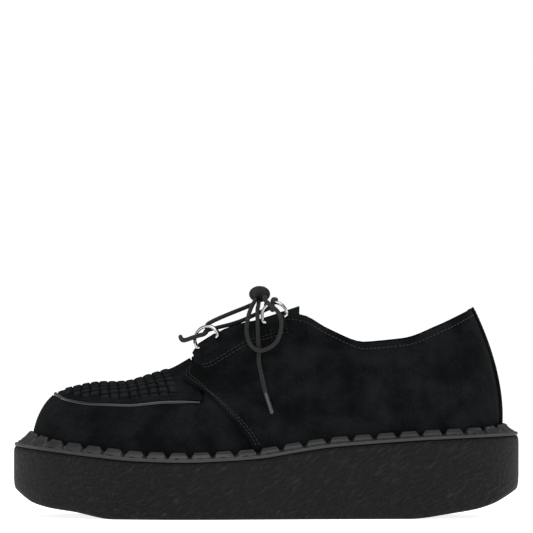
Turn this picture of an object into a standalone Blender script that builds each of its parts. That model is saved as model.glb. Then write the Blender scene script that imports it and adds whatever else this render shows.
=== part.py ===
"""Low lace-up suede shoe, left foot, on a thick crepe sole with a crown welt.

Metres, +Z up, the toe points to -X and the outer (lateral) side to -Y. The origin lies on the
floor under the middle of the sole. Every layer of the upper is an offset of one surface, the
last, so a change of a length, a width or a height carries all pieces with it.
"""

import math
from functools import lru_cache
from typing import NamedTuple

import bmesh
import bpy
import numpy as np
from mathutils import Vector
from mathutils.bvhtree import BVHTree

# Sole
SOLE_LENGTH = 0.300
BALL_WIDTH = 0.118
WAIST_WIDTH = 0.089
HEEL_WIDTH = 0.086
TOE_SWING = 0.0085
WAIST_SWING = 0.003
FOREPART_THICKNESS = 0.0332
TOE_THICKNESS = 0.0418
HEEL_THICKNESS = 0.0484
TOE_SPRING = 0.0150
HEEL_SPRING = 0.0155
SOLE_EDGE = 0.0016
INSOLE_THICKNESS = 0.003

# Heights of the last above the top of the sole
TOE_RISE = 0.045
INSTEP_RISE = 0.0847
COLLAR_RISE = 0.0588
HEEL_RISE = 0.075

# Half widths of the throat and the collar
THROAT_HALF = 0.0175
COLLAR_HALF = 0.031

# Shelf of the sole outside the upper
SIDE_SHELF = 0.0078
TOE_SHELF = 0.0110
HEEL_SHELF = 0.0102

# Layers
LAYER_GAP = 0.0003
UPPER_WALL = 0.0016
QUARTER_THICKNESS = 0.0014
APRON_THICKNESS = 0.0014
WEAVE_PITCH = 0.00515
WEAVE_RELIEF = 0.0008
WEAVE_MARGIN = 0.0045
WEAVE_START = 0.0040
WEAVE_REACH = 0.062
STRIP_SLOPE = 0.00035
HEEL_STRIP_THICKNESS = 0.0012
HEEL_STRIP_HALF = 0.0100
QUARTER_LIFT = 0.0005
TAB_HEIGHT = 0.0055
PIPING_RADIUS = 0.00105
TONGUE_THICKNESS = 0.002
TONGUE_LAP = 0.011
TONGUE_CROWN = 0.004
TONGUE_REACH = 0.008

# Crown welt
BAND_INSET = 0.0005
BAND_HEIGHT = 0.0018
BAND_WIDTH = 0.0016
TOOTH_PITCH = 0.0135
TOOTH_DEPTH = 0.0029
TOOTH_THICKNESS = 0.0012
CROWN_SIDE_RISE = 0.0056
CROWN_TOE_RISE = 0.0085
CROWN_HEEL_RISE = 0.0066

# Rings, keepers and laces
RING_WIRE_RADIUS = 0.0009
RING_WIDTH = 0.0152
RING_HEIGHT = 0.0098
RING_DROP = 0.0026
KEEPER_WIDTH = 0.0110
KEEPER_THICKNESS = 0.0012
KEEPER_TAIL = 0.0042
LACE_RADIUS = 0.00125
KNOT_SETBACK = 0.0125
KNOT_RISE = 0.0165
KNOT_LENGTH = 0.0125
KNOT_WIDTH = 0.0110
KNOT_HEIGHT = 0.0095
AGLET_RADIUS = 0.00125
AGLET_LENGTH = 0.0140
CORD_POINT_SPACING = 0.0055

COLUMNS_VAMP = 13
COLUMNS_THROAT = 6
COLUMNS_COLLAR = 11
ROWS_BELOW = (0.0, 0.27, 0.54, 0.80)
ROWS_ABOVE = 4
SOLE_COLUMNS = 36
SAMPLES = 400

LATERAL = -1.0
MEDIAL = 1.0
SIDES = (("lateral", LATERAL), ("medial", MEDIAL))
UP = np.array((0.0, 0.0, 1.0))


class PlanRow(NamedTuple):
    """Outline of the sole at a share of its length: half width and sideways shift of the middle."""

    along: float
    half: float
    swing: float


SOLE_PLAN = (
    PlanRow(0.000, 0.000 * BALL_WIDTH, 1.00 * TOE_SWING),
    PlanRow(0.012, 0.149 * BALL_WIDTH, 0.98 * TOE_SWING),
    PlanRow(0.050, 0.284 * BALL_WIDTH, 0.90 * TOE_SWING),
    PlanRow(0.100, 0.363 * BALL_WIDTH, 0.73 * TOE_SWING),
    PlanRow(0.200, 0.459 * BALL_WIDTH, 0.33 * TOE_SWING),
    PlanRow(0.300, 0.500 * BALL_WIDTH, 0.02 * TOE_SWING),
    PlanRow(0.400, 0.483 * BALL_WIDTH, -0.53 * WAIST_SWING),
    PlanRow(0.500, 0.573 * WAIST_WIDTH, -0.93 * WAIST_SWING),
    PlanRow(0.600, 0.520 * WAIST_WIDTH, -1.00 * WAIST_SWING),
    PlanRow(0.700, 0.500 * WAIST_WIDTH, -0.73 * WAIST_SWING),
    PlanRow(0.800, 0.502 * HEEL_WIDTH, -0.33 * WAIST_SWING),
    PlanRow(0.880, 0.474 * HEEL_WIDTH, -0.10 * WAIST_SWING),
    PlanRow(0.950, 0.370 * HEEL_WIDTH, 0.00 * WAIST_SWING),
    PlanRow(0.988, 0.198 * HEEL_WIDTH, 0.00 * WAIST_SWING),
    PlanRow(1.000, 0.000 * HEEL_WIDTH, 0.00 * WAIST_SWING),
)


class SoleTopRow(NamedTuple):
    """Top edge of the sole: shares of the toe's and of the heel's extra thickness."""

    along: float
    toe: float
    heel: float


SOLE_TOP = (
    SoleTopRow(0.000, 1.00, 0.000),
    SoleTopRow(0.060, 0.75, 0.000),
    SoleTopRow(0.175, 0.30, 0.000),
    SoleTopRow(0.250, 0.08, 0.000),
    SoleTopRow(0.340, 0.00, 0.000),
    SoleTopRow(0.420, 0.00, 0.060),
    SoleTopRow(0.488, 0.00, 0.155),
    SoleTopRow(0.558, 0.00, 0.375),
    SoleTopRow(0.625, 0.00, 0.575),
    SoleTopRow(0.720, 0.00, 0.730),
    SoleTopRow(0.817, 0.00, 0.855),
    SoleTopRow(1.000, 0.00, 1.000),
)


class SoleUnderRow(NamedTuple):
    """Underside of the sole: shares of the toe's and of the heel's spring."""

    along: float
    toe: float
    heel: float


SOLE_UNDER = (
    SoleUnderRow(0.000, 1.06, 0.00),
    SoleUnderRow(0.036, 0.59, 0.00),
    SoleUnderRow(0.073, 0.40, 0.00),
    SoleUnderRow(0.120, 0.27, 0.00),
    SoleUnderRow(0.200, 0.00, 0.00),
    SoleUnderRow(0.500, 0.00, 0.00),
    SoleUnderRow(0.780, 0.00, 0.00),
    SoleUnderRow(0.867, 0.00, 0.21),
    SoleUnderRow(0.915, 0.00, 0.36),
    SoleUnderRow(0.952, 0.00, 0.57),
    SoleUnderRow(1.000, 0.00, 1.04),
)


class Section(NamedTuple):
    """One section of the last, from its foot on the sole's outline to its top.

    foot and along are shares of the sole's length. half is the top's distance from the middle and
    rise its height above the sole. lean, swell and drop are shares of the section's height, reach
    is a share of its width: they set how full the curve is at its foot and at its top. piping is
    the height share of the piping, tab how far the quarter stands above the last's top.
    """

    foot: float
    along: float
    half: float
    rise: float
    lean: float
    swell: float
    reach: float
    drop: float
    piping: float
    tab: float


SECTIONS = (
    Section(0.000, 0.103, 0.00, 0.822 * TOE_RISE, 0.03, 0.46, 0.55, 0.01, 0.940, 0.0 * TAB_HEIGHT),
    Section(0.030, 0.112, 0.00, 0.842 * TOE_RISE, 0.05, 0.48, 0.56, 0.01, 0.895, 0.0 * TAB_HEIGHT),
    Section(0.080, 0.130, 0.00, 0.888 * TOE_RISE, 0.07, 0.53, 0.58, 0.01, 0.800, 0.0 * TAB_HEIGHT),
    Section(0.150, 0.167, 0.00, 0.960 * TOE_RISE, 0.09, 0.56, 0.60, 0.00, 0.720, 0.0 * TAB_HEIGHT),
    Section(0.227, 0.220, 0.00, 1.005 * TOE_RISE, 0.09, 0.56, 0.60, 0.00, 0.712, 0.0 * TAB_HEIGHT),
    Section(0.297, 0.272, 0.00, 0.597 * INSTEP_RISE, 0.08, 0.50, 0.57, 0.03, 0.685, 0.0 * TAB_HEIGHT),
    Section(0.350, 0.315, 0.00, 0.652 * INSTEP_RISE, 0.06, 0.44, 0.52, 0.07, 0.640, 0.0 * TAB_HEIGHT),
    Section(0.393, 0.350, 0.00, 0.722 * INSTEP_RISE, 0.05, 0.40, 0.46, 0.10, 0.575, 0.1 * TAB_HEIGHT),
    Section(0.427, 0.359, 0.38 * THROAT_HALF, 0.735 * INSTEP_RISE, 0.04, 0.38, 0.38, 0.17, 0.570,
            0.40 * TAB_HEIGHT),
    Section(0.457, 0.374, 0.80 * THROAT_HALF, 0.752 * INSTEP_RISE, 0.03, 0.36, 0.30, 0.24, 0.560,
            0.95 * TAB_HEIGHT),
    Section(0.500, 0.410, 0.96 * THROAT_HALF, 0.826 * INSTEP_RISE, 0.03, 0.35, 0.22, 0.31, 0.500,
            1.00 * TAB_HEIGHT),
    Section(0.540, 0.460, 1.00 * THROAT_HALF, 0.915 * INSTEP_RISE, 0.03, 0.34, 0.20, 0.35, 0.500,
            0.50 * TAB_HEIGHT),
    Section(0.573, 0.510, 1.05 * THROAT_HALF, 0.950 * INSTEP_RISE, 0.03, 0.33, 0.20, 0.36, 0.500,
            0.20 * TAB_HEIGHT),
    Section(0.600, 0.537, 0.65 * COLLAR_HALF, 0.966 * INSTEP_RISE, 0.03, 0.33, 0.22, 0.36, 0.500,
            0.15 * TAB_HEIGHT),
    Section(0.633, 0.573, 0.75 * COLLAR_HALF, 0.935 * INSTEP_RISE, 0.03, 0.32, 0.25, 0.37, 0.500,
            0.15 * TAB_HEIGHT),
    Section(0.677, 0.627, 0.90 * COLLAR_HALF, 0.806 * INSTEP_RISE, 0.04, 0.31, 0.28, 0.38, 0.500,
            0.15 * TAB_HEIGHT),
    Section(0.733, 0.700, 1.00 * COLLAR_HALF, 1.000 * COLLAR_RISE, 0.05, 0.30, 0.30, 0.38, 0.500,
            0.15 * TAB_HEIGHT),
    Section(0.793, 0.773, 1.00 * COLLAR_HALF, 1.010 * COLLAR_RISE, 0.05, 0.30, 0.35, 0.36, 0.500,
            0.15 * TAB_HEIGHT),
    Section(0.853, 0.837, 0.90 * COLLAR_HALF, 0.872 * HEEL_RISE, 0.05, 0.31, 0.45, 0.33, 0.500,
            0.15 * TAB_HEIGHT),
    Section(0.917, 0.877, 0.68 * COLLAR_HALF, 0.941 * HEEL_RISE, 0.05, 0.32, 0.58, 0.31, 0.500,
            0.15 * TAB_HEIGHT),
    Section(0.967, 0.898, 0.36 * COLLAR_HALF, 0.984 * HEEL_RISE, 0.05, 0.32, 0.66, 0.30, 0.500,
            0.15 * TAB_HEIGHT),
    Section(1.000, 0.902, 0.00, 1.000 * HEEL_RISE, 0.05, 0.32, 0.68, 0.29, 0.500, 0.15 * TAB_HEIGHT),
)


class FrontEdgeRow(NamedTuple):
    """Front edge of a quarter in side view: height above the sole and share of its length."""

    height: float
    along: float


QUARTER_FRONT = (
    FrontEdgeRow(0.000 * INSTEP_RISE, 0.476),
    FrontEdgeRow(0.060 * INSTEP_RISE, 0.474),
    FrontEdgeRow(0.145 * INSTEP_RISE, 0.463),
    FrontEdgeRow(0.235 * INSTEP_RISE, 0.445),
    FrontEdgeRow(0.385 * INSTEP_RISE, 0.409),
    FrontEdgeRow(0.455 * INSTEP_RISE, 0.390),
    FrontEdgeRow(0.530 * INSTEP_RISE, 0.354),
    FrontEdgeRow(0.575 * INSTEP_RISE, 0.337),
    FrontEdgeRow(0.630 * INSTEP_RISE, 0.340),
    FrontEdgeRow(0.730 * INSTEP_RISE, 0.349),
    FrontEdgeRow(1.100 * INSTEP_RISE, 0.372),
)


class CordRow(NamedTuple):
    """Point of a free lace, in metres from the knot's middle: to the heel, outwards and up."""

    back: float
    out: float
    up: float


LOOP_ROUTE = (
    CordRow(0.0038, 0.0051, -0.0022),
    CordRow(0.0031, 0.0118, -0.0020),
    CordRow(0.0030, 0.0184, -0.0016),
    CordRow(0.0030, 0.0244, -0.0018),
    CordRow(0.0036, 0.0294, -0.0040),
    CordRow(0.0072, 0.0314, -0.0072),
    CordRow(0.0110, 0.0318, -0.0108),
    CordRow(0.0128, 0.0322, -0.0158),
    CordRow(0.0124, 0.0306, -0.0220),
    CordRow(0.0096, 0.0296, -0.0284),
    CordRow(0.0040, 0.0290, -0.0324),
    CordRow(-0.0010, 0.0290, -0.0330),
    CordRow(-0.0054, 0.0276, -0.0296),
    CordRow(-0.0076, 0.0254, -0.0220),
    CordRow(-0.0066, 0.0210, -0.0130),
    CordRow(-0.0046, 0.0138, -0.0072),
    CordRow(-0.0030, 0.0078, -0.0044),
    CordRow(-0.0028, 0.0058, -0.0033),
)

END_ROUTE = (
    CordRow(-0.0005, 0.0042, -0.0048),
    CordRow(-0.0008, 0.0080, -0.0072),
    CordRow(-0.0010, 0.0135, -0.0075),
    CordRow(-0.0012, 0.0190, -0.0088),
    CordRow(-0.0012, 0.0231, -0.0148),
    CordRow(-0.0009, 0.0242, -0.0250),
    CordRow(-0.0004, 0.0259, -0.0330),
    CordRow(-0.0004, 0.0280, -0.0396),
    CordRow(0.0008, 0.0308, -0.0462),
    CordRow(0.0027, 0.0347, -0.0546),
    CordRow(0.0036, 0.0366, -0.0580),
)
AGLET_TIP = CordRow(0.0082, 0.0446, -0.0726)


class Curve:
    """Monotone cubic curve through a table's rows, by one of its columns."""

    def __init__(self, keys, values):
        self.keys = np.array(keys, float)
        self.values = np.array(values, float)
        steps = np.diff(self.keys)
        slopes = np.diff(self.values) / steps
        tangents = np.zeros(len(self.keys))
        tangents[0], tangents[-1] = slopes[0], slopes[-1]
        for i in range(1, len(slopes)):
            if slopes[i - 1] * slopes[i] > 0:
                before = 2 * steps[i] + steps[i - 1]
                after = steps[i] + 2 * steps[i - 1]
                tangents[i] = (before + after) / (before / slopes[i - 1] + after / slopes[i])
        self.tangents = tangents

    def __call__(self, key):
        key = min(max(key, self.keys[0]), self.keys[-1])
        i = min(max(int(np.searchsorted(self.keys, key)) - 1, 0), len(self.keys) - 2)
        step = self.keys[i + 1] - self.keys[i]
        t = (key - self.keys[i]) / step
        return float(
            (2 * t**3 - 3 * t**2 + 1) * self.values[i]
            + (t**3 - 2 * t**2 + t) * step * self.tangents[i]
            + (3 * t**2 - 2 * t**3) * self.values[i + 1]
            + (t**3 - t**2) * step * self.tangents[i + 1]
        )


def unit(vector):
    """The vector at length one."""
    return vector / np.linalg.norm(vector)


def smooth(value):
    """Soft step from 0 to 1."""
    value = min(max(value, 0.0), 1.0)
    return value * value * (3 - 2 * value)


def along_to_x(along):
    """X of a share of the sole's length."""
    return (along - 0.5) * SOLE_LENGTH


def solve(function, low, high):
    """Where a rising function crosses zero."""
    for _ in range(36):
        middle = (low + high) / 2
        if function(middle) < 0:
            low = middle
        else:
            high = middle
    return (low + high) / 2


def through_points(keys, points):
    """Catmull-Rom curve through points at given keys, as a function of the key."""
    keys = np.array(keys, float)
    points = np.array(points, float)
    tangents = np.zeros_like(points)
    tangents[1:-1] = (points[2:] - points[:-2]) / (keys[2:] - keys[:-2])[:, None]
    tangents[0] = (points[1] - points[0]) / (keys[1] - keys[0])
    tangents[-1] = (points[-1] - points[-2]) / (keys[-1] - keys[-2])

    def at(key):
        i = min(max(int(np.searchsorted(keys, key)) - 1, 0), len(keys) - 2)
        step = keys[i + 1] - keys[i]
        t = (key - keys[i]) / step
        return (
            (2 * t**3 - 3 * t**2 + 1) * points[i]
            + (t**3 - 2 * t**2 + t) * step * tangents[i]
            + (3 * t**2 - 2 * t**3) * points[i + 1]
            + (t**3 - t**2) * step * tangents[i + 1]
        )

    return at


class Plan:
    """Outline of the sole seen from above, by side and by a share of the way from toe to heel."""

    def __init__(self):
        ring = [(along_to_x(r.along), -r.half, r.swing) for r in SOLE_PLAN]
        ring += [(along_to_x(r.along), r.half, r.swing) for r in reversed(SOLE_PLAN[1:-1])]
        corners = np.array(ring + ring[:3])
        steps = np.linalg.norm(np.diff(corners[:, :2], axis=0), axis=1)
        keys = np.concatenate(([0.0], np.cumsum(steps)))
        lap = keys[len(ring)]
        heel = keys[len(SOLE_PLAN) - 1]
        loop = np.vstack((np.array(ring[-2:]), corners))
        loop_keys = np.concatenate((keys[len(ring) - 2:len(ring)] - lap, keys))
        curve = through_points(loop_keys, loop)
        shares = np.linspace(0.0, 1.0, SAMPLES + 1)
        half = np.array([curve(s * heel) for s in shares])
        half[0, 1] = half[-1, 1] = 0.0
        self.shares = shares
        self.x = half[:, 0]
        self.half = -half[:, 1]
        self.middle = half[:, 2]
        low = (self.middle - self.half).min()
        high = (self.middle + self.half).max()
        self.middle -= (low + high) / 2
        self.length = {}
        for _, side in SIDES:
            y = self.middle + side * self.half
            step = np.hypot(np.diff(self.x), np.diff(y))
            self.length[side] = np.concatenate(([0.0], np.cumsum(step)))

    def point(self, side, share):
        """Point on the outline."""
        x = np.interp(share, self.shares, self.x)
        half = np.interp(share, self.shares, self.half)
        return np.array((x, self.centre(share) + side * half, 0.0))

    def centre(self, share):
        """Y of the shoe's middle line at a share."""
        return float(np.interp(share, self.shares, self.middle))

    def centre_at(self, x):
        """Y of the shoe's middle line at an X."""
        return float(np.interp(x, self.x, self.middle))

    def share_at(self, x):
        """Share of the way from toe to heel at an X."""
        return float(np.interp(x, self.x, self.shares))

    def outward(self, side, share):
        """Horizontal normal of the outline, pointing out."""
        if share < 1e-6:
            return np.array((-1.0, 0.0, 0.0))
        if share > 1 - 1e-6:
            return np.array((1.0, 0.0, 0.0))
        reach = 2.0 / SAMPLES
        low, high = share - reach, share + reach
        before = self.point(side, low) if low >= 0 else self.point(-side, -low)
        after = self.point(side, high) if high <= 1 else self.point(-side, 2 - high)
        along = unit(after - before)
        return np.array((-side * along[1], side * along[0], 0.0))

    def even_shares(self, side, distances):
        """Shares at distances along one side, from the toe."""
        return np.interp(distances, self.length[side], self.shares)


PLAN = Plan()
TOP_TOE = Curve([r.along for r in SOLE_TOP], [r.toe for r in SOLE_TOP])
TOP_HEEL = Curve([r.along for r in SOLE_TOP], [r.heel for r in SOLE_TOP])
UNDER_TOE = Curve([r.along for r in SOLE_UNDER], [r.toe for r in SOLE_UNDER])
UNDER_HEEL = Curve([r.along for r in SOLE_UNDER], [r.heel for r in SOLE_UNDER])


def sole_top(x):
    """Height of the sole's top at an X."""
    along = x / SOLE_LENGTH + 0.5
    toe = TOP_TOE(along) * (TOE_THICKNESS - FOREPART_THICKNESS)
    heel = TOP_HEEL(along) * (HEEL_THICKNESS - FOREPART_THICKNESS)
    return FOREPART_THICKNESS + toe + heel


def sole_under(x):
    """Height of the sole's underside at an X."""
    along = x / SOLE_LENGTH + 0.5
    return UNDER_TOE(along) * TOE_SPRING + UNDER_HEEL(along) * HEEL_SPRING


FOOT_SHARES = [PLAN.share_at(along_to_x(s.foot)) for s in SECTIONS]
FOOT_SHARES[0], FOOT_SHARES[-1] = 0.0, 1.0
COLUMN = {name: Curve(FOOT_SHARES, [getattr(s, name) for s in SECTIONS]) for name in Section._fields[1:]}
THROAT_SHARE = FOOT_SHARES[7]
COLLAR_SHARE = FOOT_SHARES[13]
QUARTER_SHARE = PLAN.share_at(along_to_x(QUARTER_FRONT[0].along))
QUARTER_BLEND = 0.07
TAB_SETBACK = 0.034
LAST_TOP = 0.9999
HEEL_STRIP_SHARE = 0.93
QUARTER_LAYER = LAYER_GAP + QUARTER_THICKNESS
APRON_LAYER = LAYER_GAP + APRON_THICKNESS


def quarter_blend(share):
    """How far the last makes room for the quarter at a share: 0 under the vamp, 1 behind it."""
    return smooth((share - QUARTER_SHARE) / QUARTER_BLEND / 2 + 0.5)


@lru_cache(maxsize=None)
def shelf(side, share):
    """Distance from the sole's outline in to the last."""
    normal = PLAN.outward(side, share)[0]
    end = TOE_SHELF if normal < 0 else HEEL_SHELF
    strip = smooth((share - HEEL_STRIP_SHARE) / (1 - HEEL_STRIP_SHARE) * 2)
    layers = quarter_blend(share) * QUARTER_LAYER + strip * (LAYER_GAP + HEEL_STRIP_THICKNESS)
    return SIDE_SHELF + (end - SIDE_SHELF) * normal**2 + layers


@lru_cache(maxsize=None)
def last_frame(side, share):
    """The four control points of the last's section at a share."""
    outward = PLAN.outward(side, share)
    foot = PLAN.point(side, share) - outward * shelf(side, share)
    foot[2] = sole_top(foot[0]) + LAYER_GAP
    x = along_to_x(COLUMN["along"](share))
    top = np.array((x, PLAN.centre_at(x) + side * COLUMN["half"](share), 0.0))
    top[2] = sole_top(x) + COLUMN["rise"](share)
    height = top[2] - foot[2]
    across = foot - top
    across[2] = 0.0
    low = foot + UP * COLUMN["swell"](share) * height + outward * COLUMN["lean"](share) * height
    high = top + across * COLUMN["reach"](share) - UP * COLUMN["drop"](share) * height
    return foot, low, high, top


def last_point(side, share, rise):
    """Point on the last: rise goes from 0 at the sole to 1 at the top, and on in a straight line."""
    foot, low, high, top = last_frame(side, share)
    if rise > 1:
        return top + (top - high) * 3 * (rise - 1)
    left = 1 - rise
    return left**3 * foot + 3 * left**2 * rise * low + 3 * left * rise**2 * high + rise**3 * top


def side_normal(side, share, rise):
    """Outward normal of the last, worked out on one side."""
    step = 0.004
    rise = min(rise, 1.0)
    low, high = max(share - step, 0.0), min(share + step, 1.0)
    across = last_point(side, high, rise) - last_point(side, low, rise)
    down, up = max(rise - step, 0.0), min(rise + step, 1.0)
    upward = last_point(side, share, up) - last_point(side, share, down)
    return unit(np.cross(across, upward)) * -side


@lru_cache(maxsize=None)
def last_normal(side, share, rise):
    """Outward normal of the last. On its middle seams both sides share one normal."""
    ridge = rise > 0.999 and share <= THROAT_SHARE
    inner = min(max(share, 0.03), 0.985) if (ridge or share < 0.01 or share > 0.99) else share
    normal = side_normal(side, inner, rise)
    if ridge or share < 1e-6 or share > 1 - 1e-6:
        other = side_normal(-side, inner, rise)
        normal = normal + other
        centre = PLAN.outward(side, share) if share in (0.0, 1.0) else None
        if centre is not None:
            normal[1] = 0.0
    return unit(normal)


def layer_point(side, share, rise, offset):
    """Point at a distance outside the last, and never lower than the sole's top."""
    point = last_point(side, share, rise) + last_normal(side, share, rise) * offset
    point[2] = max(point[2], sole_top(point[0]) + LAYER_GAP)
    return point


def rise_step(side, share, rise, distance):
    """Change of rise that moves a point by a distance along its section."""
    reach = 0.01
    span = last_point(side, share, rise + reach) - last_point(side, share, rise - reach)
    return distance * 2 * reach / np.linalg.norm(span)


@lru_cache(maxsize=None)
def piping_rise(side, share):
    """Rise of the piping at a share."""
    foot, _, _, top = last_frame(side, share)
    height = foot[2] + COLUMN["piping"](share) * (top[2] - foot[2])
    return solve(lambda rise: last_point(side, share, rise)[2] - height, 0.2, 1.0)


FRONT_EDGE = Curve([r.height for r in QUARTER_FRONT], [r.along for r in QUARTER_FRONT])


@lru_cache(maxsize=None)
def quarter_front(side, rise):
    """Share at which a quarter begins at a rise."""

    def past_edge(share):
        point = last_point(side, share, min(rise, 1.0))
        height = point[2] - sole_top(point[0])
        return point[0] - along_to_x(FRONT_EDGE(height))

    clear = THROAT_SHARE + TAB_SETBACK * smooth((rise - 0.8) / 0.2)
    front = solve(past_edge, 0.25, 0.75)
    return max(front, clear) if rise > 0.8 else front


class Shell:
    """Collects the faces of one closed solid. Points that coincide are one, and flat faces vanish."""

    def __init__(self):
        self.points = []
        self.known = {}
        self.faces = []

    def add(self, point):
        key = tuple(int(round(c * 1e7)) for c in point)
        if key not in self.known:
            self.known[key] = len(self.points)
            self.points.append(tuple(float(c) for c in point))
        return self.known[key]

    def face(self, corners):
        loop = []
        for corner in corners:
            if corner not in loop:
                loop.append(corner)
        if len(loop) >= 3:
            self.faces.append(loop)

    def grid(self, rows, closed=False):
        """Quads over rows of points. Returns the rows' indices."""
        marks = [[self.add(p) for p in row] for row in rows]
        for low, high in zip(marks, marks[1:]):
            count = len(low) if closed else len(low) - 1
            for i in range(count):
                j = (i + 1) % len(low)
                self.face((low[i], low[j], high[j], high[i]))
        return marks

    def build(self, name, look, smooth_angle=50.0, triangles=False):
        """Makes the object, with its faces turned out. Twisted faces are cut into triangles."""
        mesh = bpy.data.meshes.new(name)
        mesh.from_pydata(self.points, [], self.faces)
        work = bmesh.new()
        work.from_mesh(mesh)
        bmesh.ops.recalc_face_normals(work, faces=work.faces[:])
        if work.calc_volume(signed=True) < 0:
            bmesh.ops.reverse_faces(work, faces=work.faces[:])
        if triangles:
            bmesh.ops.triangulate(work, faces=work.faces[:], quad_method="FIXED")
        work.to_mesh(mesh)
        work.free()
        mesh.shade_smooth()
        mesh.set_sharp_from_angle(angle=math.radians(smooth_angle))
        obj = bpy.data.objects.new(name, mesh)
        bpy.context.scene.collection.objects.link(obj)
        mesh.materials.append(look)
        return obj


def material(name, colour, roughness, metallic=0.0):
    """Principled material of one piece."""
    look = bpy.data.materials.new(name)
    look.use_nodes = True
    shader = look.node_tree.nodes["Principled BSDF"]
    shader.inputs["Base Color"].default_value = (*colour, 1.0)
    shader.inputs["Roughness"].default_value = roughness
    shader.inputs["Metallic"].default_value = metallic
    return look


def tube(name, look, route, radius, sides=8, closed=False):
    """Round tube along a list of points, with flat ends."""
    route = [np.array(p, float) for p in route]
    shell = Shell()
    rings = []
    count = len(route)
    normal = None
    for i, point in enumerate(route):
        before = route[i - 1] if i > 0 or closed else route[i]
        after = route[(i + 1) % count] if i < count - 1 or closed else route[i]
        along = unit(after - before)
        if normal is None:
            hint = UP if abs(along[2]) < 0.9 else np.array((1.0, 0.0, 0.0))
            normal = unit(np.cross(along, hint))
        normal = unit(normal - along * np.dot(normal, along))
        side = np.cross(along, normal)
        turns = [2 * math.pi * k / sides for k in range(sides)]
        rings.append([point + radius * (math.cos(a) * normal + math.sin(a) * side) for a in turns])
    if closed:
        rings.append(rings[0])
    marks = shell.grid(rings, closed=True)
    if not closed:
        shell.face(marks[0])
        shell.face(list(reversed(marks[-1])))
    return shell.build(name, look)


def resample(points, spacing):
    """Points at an even spacing on a smooth curve through the given ones."""
    points = np.array(points, float)
    chord = np.concatenate(([0.0], np.cumsum(np.linalg.norm(np.diff(points, axis=0), axis=1) ** 0.5)))
    curve = through_points(chord, points)
    fine = np.array([curve(k) for k in np.linspace(0.0, chord[-1], SAMPLES)])
    run = np.concatenate(([0.0], np.cumsum(np.linalg.norm(np.diff(fine, axis=0), axis=1))))
    count = max(int(round(run[-1] / spacing)), 2)
    marks = np.linspace(0.0, run[-1], count + 1)
    return [np.array([np.interp(m, run, fine[:, axis]) for axis in range(3)]) for m in marks]


def last_columns():
    """Shares of the upper's columns, from toe to heel."""
    vamp = np.linspace(0.0, THROAT_SHARE, COLUMNS_VAMP + 1)
    throat = np.linspace(THROAT_SHARE, COLLAR_SHARE, COLUMNS_THROAT + 1)
    collar = np.linspace(COLLAR_SHARE, 1.0, COLUMNS_COLLAR + 1)
    return [*vamp, *throat[1:], *collar[1:]]


def upper_profile(side, share):
    """Rises and offsets of the upper's outer face at a share, with the groove for the apron."""
    if share > THROAT_SHARE + 1e-9:
        low = piping_rise(side, THROAT_SHARE)
        seat = [low, low + 0.004]
        depth = [0.0, 0.0]
    else:
        middle = piping_rise(side, share)
        edge = rise_step(side, share, middle, PIPING_RADIUS + 2 * LAYER_GAP)
        seat = [middle - edge, middle - edge + 0.004]
        depth = [0.0, APRON_LAYER]
    below = [seat[0] * r for r in ROWS_BELOW]
    above = [seat[1] + (1 - seat[1]) * k / ROWS_ABOVE for k in range(1, ROWS_ABOVE + 1)]
    profile = [(r, 0.0) for r in below] + list(zip(seat, depth)) + [(r, depth[1]) for r in above]
    return profile


def make_upper(look):
    """Hollow shell of vamp and lined quarters."""
    shell = Shell()
    outer, inner = {}, {}
    for _, side in SIDES:
        for column, share in enumerate(last_columns()):
            for row, (rise, depth) in enumerate(upper_profile(side, share)):
                outer[side, column, row] = layer_point(side, share, rise, -depth)
                inner[side, column, row] = layer_point(side, share, rise, -depth - UPPER_WALL)
    columns = len(last_columns())
    rows = len(upper_profile(LATERAL, 0.0))
    for _, side in SIDES:
        skins = []
        for skin in (outer, inner):
            grid = [[skin[side, c, r] for c in range(columns)] for r in range(rows)]
            skins.append(shell.grid(grid))
        for row, start in ((0, 0), (rows - 1, COLUMNS_VAMP)):
            for c in range(start, columns - 1):
                a, b = skins[0][row][c], skins[0][row][c + 1]
                d, e = skins[1][row][c], skins[1][row][c + 1]
                shell.face((a, b, e, d))
    return shell.build("upper", look)


def quarter_rows(side):
    """Rises of a quarter's rows, the same as the upper's behind the vamp."""
    return [rise for rise, _ in upper_profile(side, 1.0)]


def quarter_point(side, share, rise, offset):
    """Point of a quarter. It lies higher on the apron, and its last row stands up as the tab."""
    over_apron = 1 - smooth((share - THROAT_SHARE) / TAB_SETBACK)
    point = layer_point(side, share, rise, offset + QUARTER_LIFT * over_apron)
    if rise >= 1.0:
        _, _, high, top = last_frame(side, share)
        point = point + unit(top - high) * COLUMN["tab"](share)
    return point


def quarter_columns(side, rise, end):
    """Shares of a quarter's columns at a rise, from its front edge to the heel."""
    front = quarter_front(side, rise)
    return [min(max(share, front), end) for share in last_columns()]


def make_quarter(name, side, look):
    """Overlapping quarter with its slanting front edge and its lace tab."""
    shell = Shell()
    heel_run = PLAN.length[side][-1]
    end = 1 - LAYER_GAP * 0.75 / heel_run
    skins = []
    for offset in (LAYER_GAP, QUARTER_LAYER):
        rows = []
        for rise in quarter_rows(side):
            shares = quarter_columns(side, rise, end)
            rows.append([quarter_point(side, s, rise, offset) for s in shares])
        top = quarter_rows(side)[-1]
        rows[-1:] = [
            [quarter_point(side, s, LAST_TOP, offset) for s in quarter_columns(side, top, end)],
            [quarter_point(side, s, top, offset) for s in quarter_columns(side, top, end)],
        ]
        skins.append(shell.grid(rows))
    inside, outside = skins
    for row in (0, -1):
        for c in range(len(inside[row]) - 1):
            shell.face((inside[row][c], inside[row][c + 1], outside[row][c + 1], outside[row][c]))
    for c in (0, -1):
        for r in range(len(inside) - 1):
            shell.face((inside[r][c], inside[r + 1][c], outside[r + 1][c], outside[r][c]))
    return shell.build(name, look)


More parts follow.
